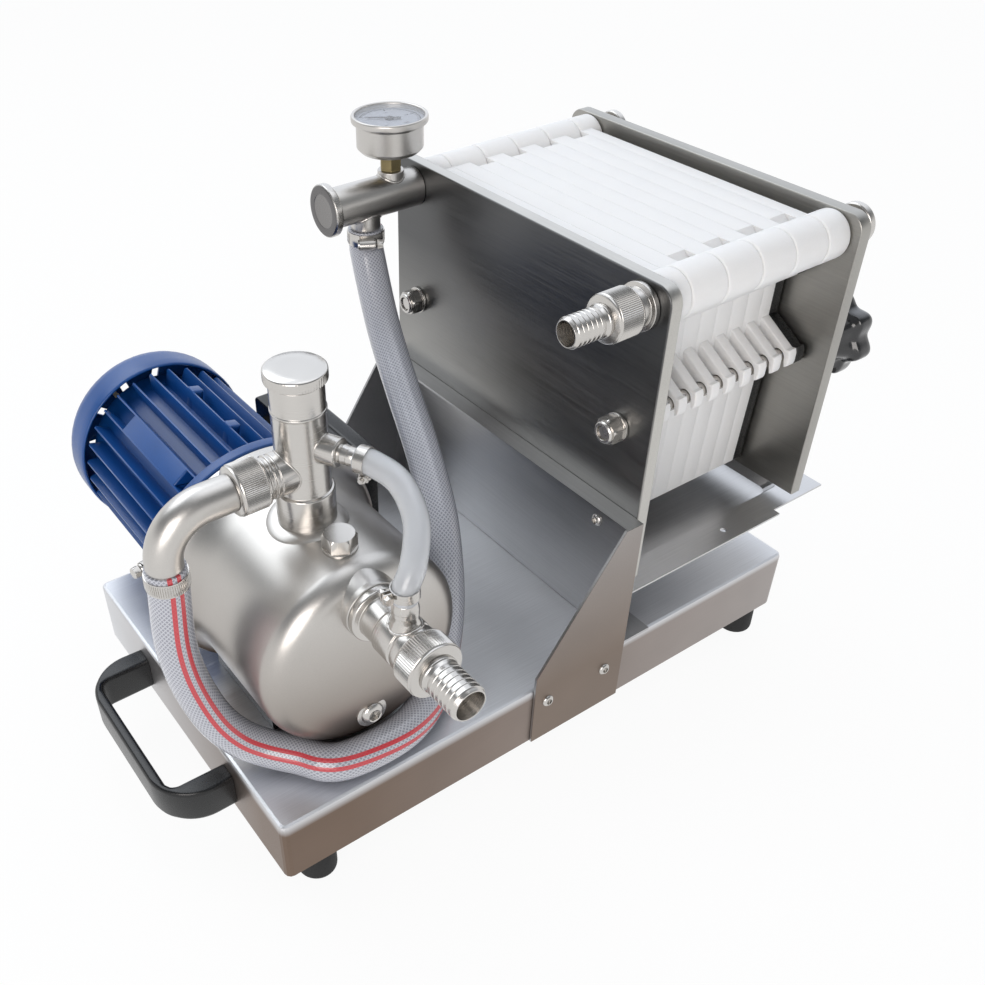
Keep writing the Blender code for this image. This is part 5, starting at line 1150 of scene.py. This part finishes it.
def bridge(centre, out, side, z, radius, half):
    """Saddle over the worm: a strip whose height over the band follows one arch."""
    across = np.linspace(-1, 1, 13)
    rise = 0.0086 * np.clip(1 - across ** 2, 0, 1) ** 0.5
    length = 0.0052
    line = []
    for s, h in zip(across, rise):
        line.append(out * (radius + max(h, 0.0)) + z * (s * half * 1.05))
    line = np.array(line)
    front, back = line + side * length, line - side * length
    thin = 0.0006
    inner_front, inner_back = front - out * thin, back - out * thin
    points = np.concatenate([front, back, inner_back, inner_front]) + centre
    faces = grid_faces(4, 13, False)
    n = 13
    close = np.stack([3 * n + np.arange(n - 1), 3 * n + np.arange(1, n), np.arange(1, n), np.arange(n - 1)], -1)
    ends = np.array([(0, n, 2 * n, 3 * n), (4 * n - 1, 3 * n - 1, 2 * n - 1, n - 1)])
    return points, np.concatenate([faces, close, ends])


class PRESS_OT_pack(PressOperator, bpy.types.Operator):
    """White filter plates with their ears and hooks, and the black pressure plate behind them"""

    bl_idname = "filter_press.add_pack"
    bl_label = "Filter plates"

    def execute(self, context):
        white = material_of("moulded_polyethylene")
        for index in range(10):
            last = index == 9
            eared = index == 0 or index % 2 == 1
            x = PACK_X + index * PLATE_PITCH
            thickness = 0.0113 if last else 0.01549
            parts = extrude(plate_outline("eared" if eared else "cut"), x, x + thickness, 0.0003)
            parts += hook_pair(x + 0.0076)
            if eared:
                length = 0.0152 if index == 0 else REAR_FRONT - GAP - x if last else 0.0307
                barrel = soften([(0, 0), (0.0168, 0), (0.0168, length), (0, length)], 0.0022, 5)
                for y in (NEAR_CHANNEL_Y, FAR_CHANNEL_Y):
                    parts.append(revolve(barrel, (x, y, CHANNEL_Z), RIGHT, 72))
            name = f"filter_plate_{index + 1:02d}"
            piece(f"moulded_{name}", parts, white, replaces=(name,))
        x = REAR_FRONT - 0.010
        parts = extrude(plate_outline("low"), x, x + 0.009, 0.0008) + hook_pair(x + 0.0045)
        piece("moulded_end_plate", parts, material_of("moulded_black_nylon"),
              replaces=("end_plate",))
        return {"FINISHED"}


def plate_outline(kind):
    """Outline of a pack plate: shoulders, tapered foot, and beside each ear an arc about it or a straight top."""
    body, ear = -0.092, (-0.117, 0.2605)
    if kind == "eared":
        top = arc(ear, 0.0150, 50, -80, 14)
    elif kind == "cut":
        top = np.concatenate([[(ear[0] + 0.0225, 0.272), (ear[0] + 0.0195, 0.2690)], arc(ear, 0.0155, 22, -80, 12)])
    else:
        top = np.array([(body - 0.015, 0.240)])
    foot = [(body - 0.015, 0.23025), (body, 0.219), (body, 0.136), (body + 0.003, 0.066), (body + 0.006, 0.063)]
    near = np.concatenate([top, foot])
    return np.concatenate([near, near[::-1] * (-1, 1)]) + (MIDDLE_Y, TRAY_TOP)


def hook_pair(x):
    """The two hooks of a plate: a wall round the rod, open below, on a sloping arm from the plate's side."""
    rod, rise = -0.1115, 0.172
    outer = rod - 0.010
    slope = (0.022 - 0.0045) / (-0.092 - outer)
    top = [(-0.084, rise + 0.022), (-0.092, rise + 0.022)]
    top += [(outer + 0.0045, rise + 0.022 - slope * (-0.092 - outer - 0.0045)), (outer + 0.0012, rise + 0.0078)]
    low = [(outer, rise + 0.0045), (outer, rise - 0.0020), (outer + 0.0008, rise - 0.0045),
           (outer + 0.0030, rise - 0.006)]
    foot = [(rod + 0.0055, rise - 0.006), (-0.092, rise - 0.017), (-0.084, rise - 0.017)]
    near = np.concatenate([top, low, arc((rod, rise), 0.0055, 180, 0, 14), foot])
    parts = []
    for side in (1, -1):
        parts += extrude(near * (side, 1) + (MIDDLE_Y, TRAY_TOP), x - 0.004, x + 0.004, 0.0009)
    return parts


class PRESS_OT_steel_plates(PressOperator, bpy.types.Operator):
    """The two thick steel plates, the tie rods through them and their lock nuts"""

    bl_idname = "filter_press.add_steel_plates"
    bl_label = "Steel plates, rods and nuts"

    def execute(self, context):
        turned_x = material_of("turned_stainless_x")
        low, high = TRAY_TOP + 0.058, TRAY_TOP + 0.278
        left, right = MIDDLE_Y - 0.140, MIDDLE_Y + 0.140
        outline = np.concatenate([
            [(left, low), (right, low)],
            arc((right - 0.012, high - 0.012), 0.012, 0, 90, 14),
            arc((left + 0.012, high - 0.012), 0.012, 90, 180, 14)])
        piece("ground_front_plate", extrude(outline, PLATE_X, PLATE_X + 0.010, 0.0009),
              material_of("ground_stainless_front"), replaces=("front_plate",))
        piece("ground_rear_plate", extrude(outline, REAR_FRONT, REAR_BACK, 0.0009),
              material_of("ground_stainless_plate"), SLIDING, replaces=("rear_plate",))
        for side, y in (("near", NEAR_ROD_Y), ("far", FAR_ROD_Y)):
            start = PLATE_X - 0.0130
            length = REAR_BACK + 0.038 - start
            thread = [(0.0050 - 0.0005 * (i % 2), 0.0010 + 0.0006 * i) for i in range(20)]
            bar_end = [(0, 0), (0.0042, 0), *thread, (0.0050, 0.0140), (0.0050, length), (0, length)]
            piece(f"threaded_rod_{side}", [revolve(bar_end, (start, y, ROD_Z), RIGHT, 48)], turned_x,
                  replaces=(f"tie_rod_{side}",))
            place = (PLATE_X - GAP, y, ROD_Z)
            ring = bar(0.0100, 0.0020, 0.0003)
            corner = 0.0085 / math.cos(math.pi / 6)
            flats = [(0, 0.0020), (0.0088, 0.0020), (corner, 0.0028), (corner, 0.0104), (0.0088, 0.0115), (0, 0.0115)]
            collar = soften([(0.0052, 0.0110), (0.0078, 0.0110), (0.0078, 0.0128), (0.0068, 0.0139), (0.0052, 0.0139),
                             (0.0052, 0.0110)], 0.0003)
            parts = [revolve(ring, place, LEFT, 64),
                     revolve(flats, place, LEFT, 72, hexagon(0.017), (0, 0.35, 0.94)),
                     revolve(collar, place, LEFT, 64)]
            piece(f"nylon_lock_nut_{side}", parts, turned_x, replaces=(f"lock_nut_{side}",))
        return {"FINISHED"}


class PRESS_OT_knobs(PressOperator, bpy.types.Operator):
    """Lobed clamp knobs on the rods' threaded ends"""

    bl_idname = "filter_press.add_knobs"
    bl_label = "Clamp knobs"

    def execute(self, context):
        nylon = material_of("glossy_black_nylon")
        profile = soften([
            (0, 0), (0.0140, 0), (0.0140, 0.0060), (0.0165, 0.0100), (0.0230, 0.0240), (0.0277, 0.0265),
            (0.0281, 0.0300), (0.0281, 0.0360), (0.0272, 0.0395), (0.0220, 0.0405), (0.0120, 0.0400),
            (0, 0.0398)], 0.002, 5)

        def lobes(r, h, t):
            lobe_count, lobe_depth = 7, 0.10
            share = np.clip((h - 0.008) / 0.018, 0, 1) * np.clip(r / 0.02, 0, 1)
            return r * (1 + lobe_depth * share * np.cos(lobe_count * t))

        for side, y in (("near", NEAR_ROD_Y), ("far", FAR_ROD_Y)):
            shape = revolve(profile, (REAR_BACK + GAP, y, ROD_Z), RIGHT, 140, lobes)
            piece(f"lobed_knob_{side}", [shape], nylon, f"{side}_knob",
                  replaces=(f"clamp_knob_{side}",), sharp=50)
        return {"FINISHED"}


class PRESS_OT_motor(PressOperator, bpy.types.Operator):
    """Finned motor frame with its flange, boss and tabs, the fan cowl and the terminal box"""

    bl_idname = "filter_press.add_motor"
    bl_label = "Motor"

    def execute(self, context):
        enamel = material_of("sprayed_blue_enamel")
        nylon = material_of("moulded_black_nylon")
        origin = (PUMP_X, FLANGE_FRONT, PUMP_Z)
        fin_count = 28
        pitch = math.tau / fin_count
        centres = math.radians(-3.2) + pitch * np.arange(fin_count)
        offsets = np.array([-0.075, -0.0255, -0.0225, -0.0125, -0.0085, 0.0, 0.0085, 0.0125, 0.0225, 0.0255, 0.075])
        turns = (centres[:, None] + offsets).ravel()
        rise = [(0.0105, 0), (0.0115, 0.55), (0.0128, 0.80), (0.0145, 0.95), (0.0165, 1), (0.1550, 1), (0.1570, 0.9),
                (0.1585, 0)]
        heights, shares = np.array(rise).T

        def fins(r, h, t):
            off = np.abs((t - centres[0] + pitch / 2) % pitch - pitch / 2)
            height = np.interp(off, [0.0085, 0.0125, 0.0225, 0.0255], [0.0135, 0.0128, 0.0006, 0.0])
            return r + height * np.interp(h, heights, shares) * (r > 0.052)

        profile = np.concatenate([
            soften([(0, 0), (0.0830, 0), (0.0830, 0.0080), (0.0530, 0.0080), (0.0530, 0.0103)], 0.0010),
            np.stack([0.053 + 0 * heights, heights], -1),
            soften([(0.0530, 0.1590), (0.0530, 0.1740), (0, 0.1740)], 0.0010)])
        parts = [revolve(profile, origin, FAR, radius_at=fins, turns=turns)]
        for turn, half, top, low, high in (
                (-35.4, 0.0080, 0.0661, 0.038, 0.123), (13.0, 0.0045, 0.0674, 0.0560, 0.0655),
                (13.0, 0.0045, 0.0674, 0.1130, 0.1225)):
            out = (math.sin(math.radians(turn)), 0, math.cos(math.radians(turn)))
            outline = rounded_rectangle(-half, half, 0.050, top, 0.0012)
            parts += extrude(outline, low, high, 0.0014, origin, FAR, out)
        piece("finned_frame", parts, enamel, replaces=("motor_frame",), sharp=40)

        piece("pressed_cowl", [cowl_skin()], enamel, replaces=("fan_cowl",), sharp=60)
        sheet = bpy.data.objects["pressed_cowl"].modifiers.new("sheet", "SOLIDIFY")
        sheet.thickness = 0.0024
        sheet.offset = -1

        centre = (PUMP_X, FLANGE_FRONT + 0.068, PUMP_Z)
        outline = rounded_rectangle(-0.058, 0.058, -0.037, 0.037, 0.0045)
        inner = rounded_rectangle(-0.0568, 0.0568, -0.0358, 0.0358, 0.0040)
        parts = extrude(outline, 0.0650, 0.0882, 0.0014, centre) + extrude(outline, 0.0892, 0.1030, 0.0026, centre)
        parts += extrude(inner, 0.0800, 0.0950, 0.0005, centre)
        parts += extrude(rounded_rectangle(-0.048, 0.048, -0.024, 0.024, 0.003), 0.0400, 0.0700, 0.001, centre)
        for y in (-0.049, 0.049):
            for z in (-0.028, 0.028):
                place = np.array(centre) + (0.1022, y, z)
                parts.append(socket_screw(place - (0.0018, 0, 0), RIGHT, 0.0032))
        piece("moulded_terminal_box", parts, nylon, replaces=("terminal_box",))
        return {"FINISHED"}


def cowl_skin():
    """Outer skin of the cowl, radius and height over a dome, its ten slots left open between matched columns."""
    dome = arc((0.0515, 0.019), 0.017, 0, 90, 12)
    end = 0.036
    rings = np.concatenate([
        [(0.0668, 0.0), (0.0680, 0.0006), (0.0685, 0.0018), (0.0685, 0.0100)], dome,
        np.stack([np.linspace(0.050, 0.020, 9), np.full(9, end)], -1), [(0.012, end), (0.004, end), (0.0, end)]])
    radius, height = rings.T
    half = np.arcsin(0.003 / np.clip(radius, 0.0195, 0.0515))[:, None, None]
    centres = np.radians(18 + 36 * np.arange(10))[None, :, None]
    inside = np.array([-1.0, -0.34, 0.34, 1.0])
    outside = np.array([0.2, 0.4, 0.6, 0.8])
    between = half + (math.tau / 10 - 2 * half) * outside
    turn = (centres + np.concatenate([half * inside, between], -1)).reshape(len(rings), -1)
    columns = turn.shape[1]
    local = np.stack([radius[:, None] * np.cos(turn), radius[:, None] * np.sin(turn),
                      height[:, None] + 0 * turn], -1)
    faces = grid_faces(len(rings), columns)
    row, column = np.divmod(np.arange(len(faces)), columns)
    first = 4 + len(dome)
    slot = (column % 8 < 3) & (row >= first) & (row < first + 8)
    points = aim(local.reshape(-1, 3), (PUMP_X, COWL_FRONT, PUMP_Z), FAR)
    return points, faces[~slot]


def strap(inner, outer, half, edge, origin):
    """Bar between two matched lines: each section is a rectangle from line to line whose corners are arcs."""
    middle, reach = (inner + outer) / 2, outer - inner
    width = np.linalg.norm(reach, axis=1, keepdims=True) / 2
    out = reach / width / 2
    round_off = np.minimum(edge, 0.9 * width)
    turn = np.radians(np.concatenate([np.linspace(q, q + 90, 6) for q in (0, 90, 180, 270)]))
    side = np.repeat([1, -1, -1, 1], 6)
    level = np.repeat([1, 1, -1, -1], 6)
    across = side * (width - round_off) + round_off * np.cos(turn)
    height = level * (half - round_off) + round_off * np.sin(turn)
    flat = middle[:, None] + out[:, None] * across[..., None]
    points = np.concatenate([flat, height[..., None]], -1) + np.array(origin, float)
    cap = np.arange(24)[None]
    return [(points.reshape(-1, 3), grid_faces(len(points), 24)), (points[0], cap), (points[-1], cap)]


class PRESS_OT_base(PressOperator, bpy.types.Operator):
    """Carry handle and rubber feet of the tray"""

    bl_idname = "filter_press.add_base"
    bl_label = "Handle and feet"

    def execute(self, context):
        outer = np.concatenate([
            [(-0.0003, 0.076)], arc((-0.014, 0.042), 0.034, 90, 180, 20), arc((-0.014, -0.042), 0.034, 180, 270, 20),
            [(-0.0003, -0.076)]])
        inner = np.concatenate([
            [(-0.0003, 0.0595)], arc((-0.032, 0.0515), 0.008, 90, 180, 20),
            arc((-0.032, -0.0515), 0.008, 180, 270, 20), [(-0.0003, -0.0595)]])
        parts = strap(inner, outer, 0.014, 0.0034, (TRAY.x, MIDDLE_Y, TRAY_TOP - 0.031))
        piece("moulded_handle", parts, material_of("moulded_black_nylon"),
              replaces=("carry_handle",), sharp=50)
        foot = soften([(0, 0), (0.0130, 0), (0.0138, 0.0012), (0.0140, 0.0030), (0.0136, 0.0240), (0.0132, 0.0247),
                       (0, 0.0247)], 0.0005)
        for name in ("foot_near_pump_end", "foot_near_press_end", "foot_far_pump_end", "foot_far_press_end"):
            low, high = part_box(name)
            place = ((low.x + high.x) / 2, (low.y + high.y) / 2, low.z)
            piece(f"turned_{name}", [revolve(foot, place, UP, 64)], material_of("vulcanised_black_rubber"),
                  replaces=(name,))
        return {"FINISHED"}


class PRESS_OT_fasteners(PressOperator, bpy.types.Operator):
    """Button-head screws on the sheet metal"""

    bl_idname = "filter_press.add_fasteners"
    bl_label = "Sheet screws"

    def execute(self, context):
        radius = context.scene.press_sizes.screw_head / 2
        panel_x, gusset_z, panel_z = TRAY.x + 0.2865, 0.062, 0.169
        parts = []
        for x in (TRAY.x + 0.217, TRAY.x + 0.271):
            parts.append(socket_screw((x, SUPPORT_NEAR.y, gusset_z), NEAR, radius))
            parts.append(socket_screw((x, SUPPORT_FAR.y, gusset_z), FAR, radius))
        for y in (TRAY.y + 0.038, TRAY.y + 0.265):
            parts.append(socket_screw((panel_x, y, panel_z), LEFT, radius))
        piece("sheet_screws", parts, material_of("turned_stainless_y"), sharp=30)
        return {"FINISHED"}


class PRESS_PT_panel(bpy.types.Panel):
    """Lists the sizes, the colours and the pieces of the filter press"""

    bl_idname = "PRESS_PT_panel"
    bl_label = "Plate filter press"
    bl_space_type = "VIEW_3D"
    bl_region_type = "UI"
    bl_category = "Filter press"

    def draw(self, context):
        for settings in (context.scene.press_sizes, context.scene.press_colours):
            column = self.layout.column()
            for name in settings.bl_rna.properties.keys():
                if name not in ("rna_type", "name"):
                    column.prop(settings, name)
        for kind in OPERATORS:
            self.layout.operator(kind.bl_idname)


OPERATORS = (
    PRESS_OT_studio,
    PRESS_OT_hoses,
    PRESS_OT_finishes,
    PRESS_OT_pump,
    PRESS_OT_column,
    PRESS_OT_suction,
    PRESS_OT_channels,
    PRESS_OT_gauge,
    PRESS_OT_clamps,
    PRESS_OT_pack,
    PRESS_OT_steel_plates,
    PRESS_OT_knobs,
    PRESS_OT_motor,
    PRESS_OT_base,
    PRESS_OT_fasteners,
)
CLASSES = (PressSizes, PressColours, *OPERATORS, PRESS_PT_panel)


def register():
    """Register the classes and hang the settings on the scene."""
    for kind in CLASSES:
        bpy.utils.register_class(kind)
    bpy.types.Scene.press_sizes = bpy.props.PointerProperty(type=PressSizes)
    bpy.types.Scene.press_colours = bpy.props.PointerProperty(type=PressColours)


def unregister():
    """Take the settings off the scene and unregister the classes."""
    del bpy.types.Scene.press_sizes
    del bpy.types.Scene.press_colours
    for kind in reversed(CLASSES):
        bpy.utils.unregister_class(kind)


def main():
    """Make every piece in order."""
    register()
    bpy.ops.filter_press.add_studio()
    bpy.ops.filter_press.add_hoses()
    bpy.ops.filter_press.add_finishes()
    bpy.ops.filter_press.add_pump()
    bpy.ops.filter_press.add_column()
    bpy.ops.filter_press.add_suction()
    bpy.ops.filter_press.add_channels()
    bpy.ops.filter_press.add_gauge()
    bpy.ops.filter_press.add_clamps()
    bpy.ops.filter_press.add_pack()
    bpy.ops.filter_press.add_steel_plates()
    bpy.ops.filter_press.add_knobs()
    bpy.ops.filter_press.add_motor()
    bpy.ops.filter_press.add_base()
    bpy.ops.filter_press.add_fasteners()


if __name__ == "__main__":
    main()
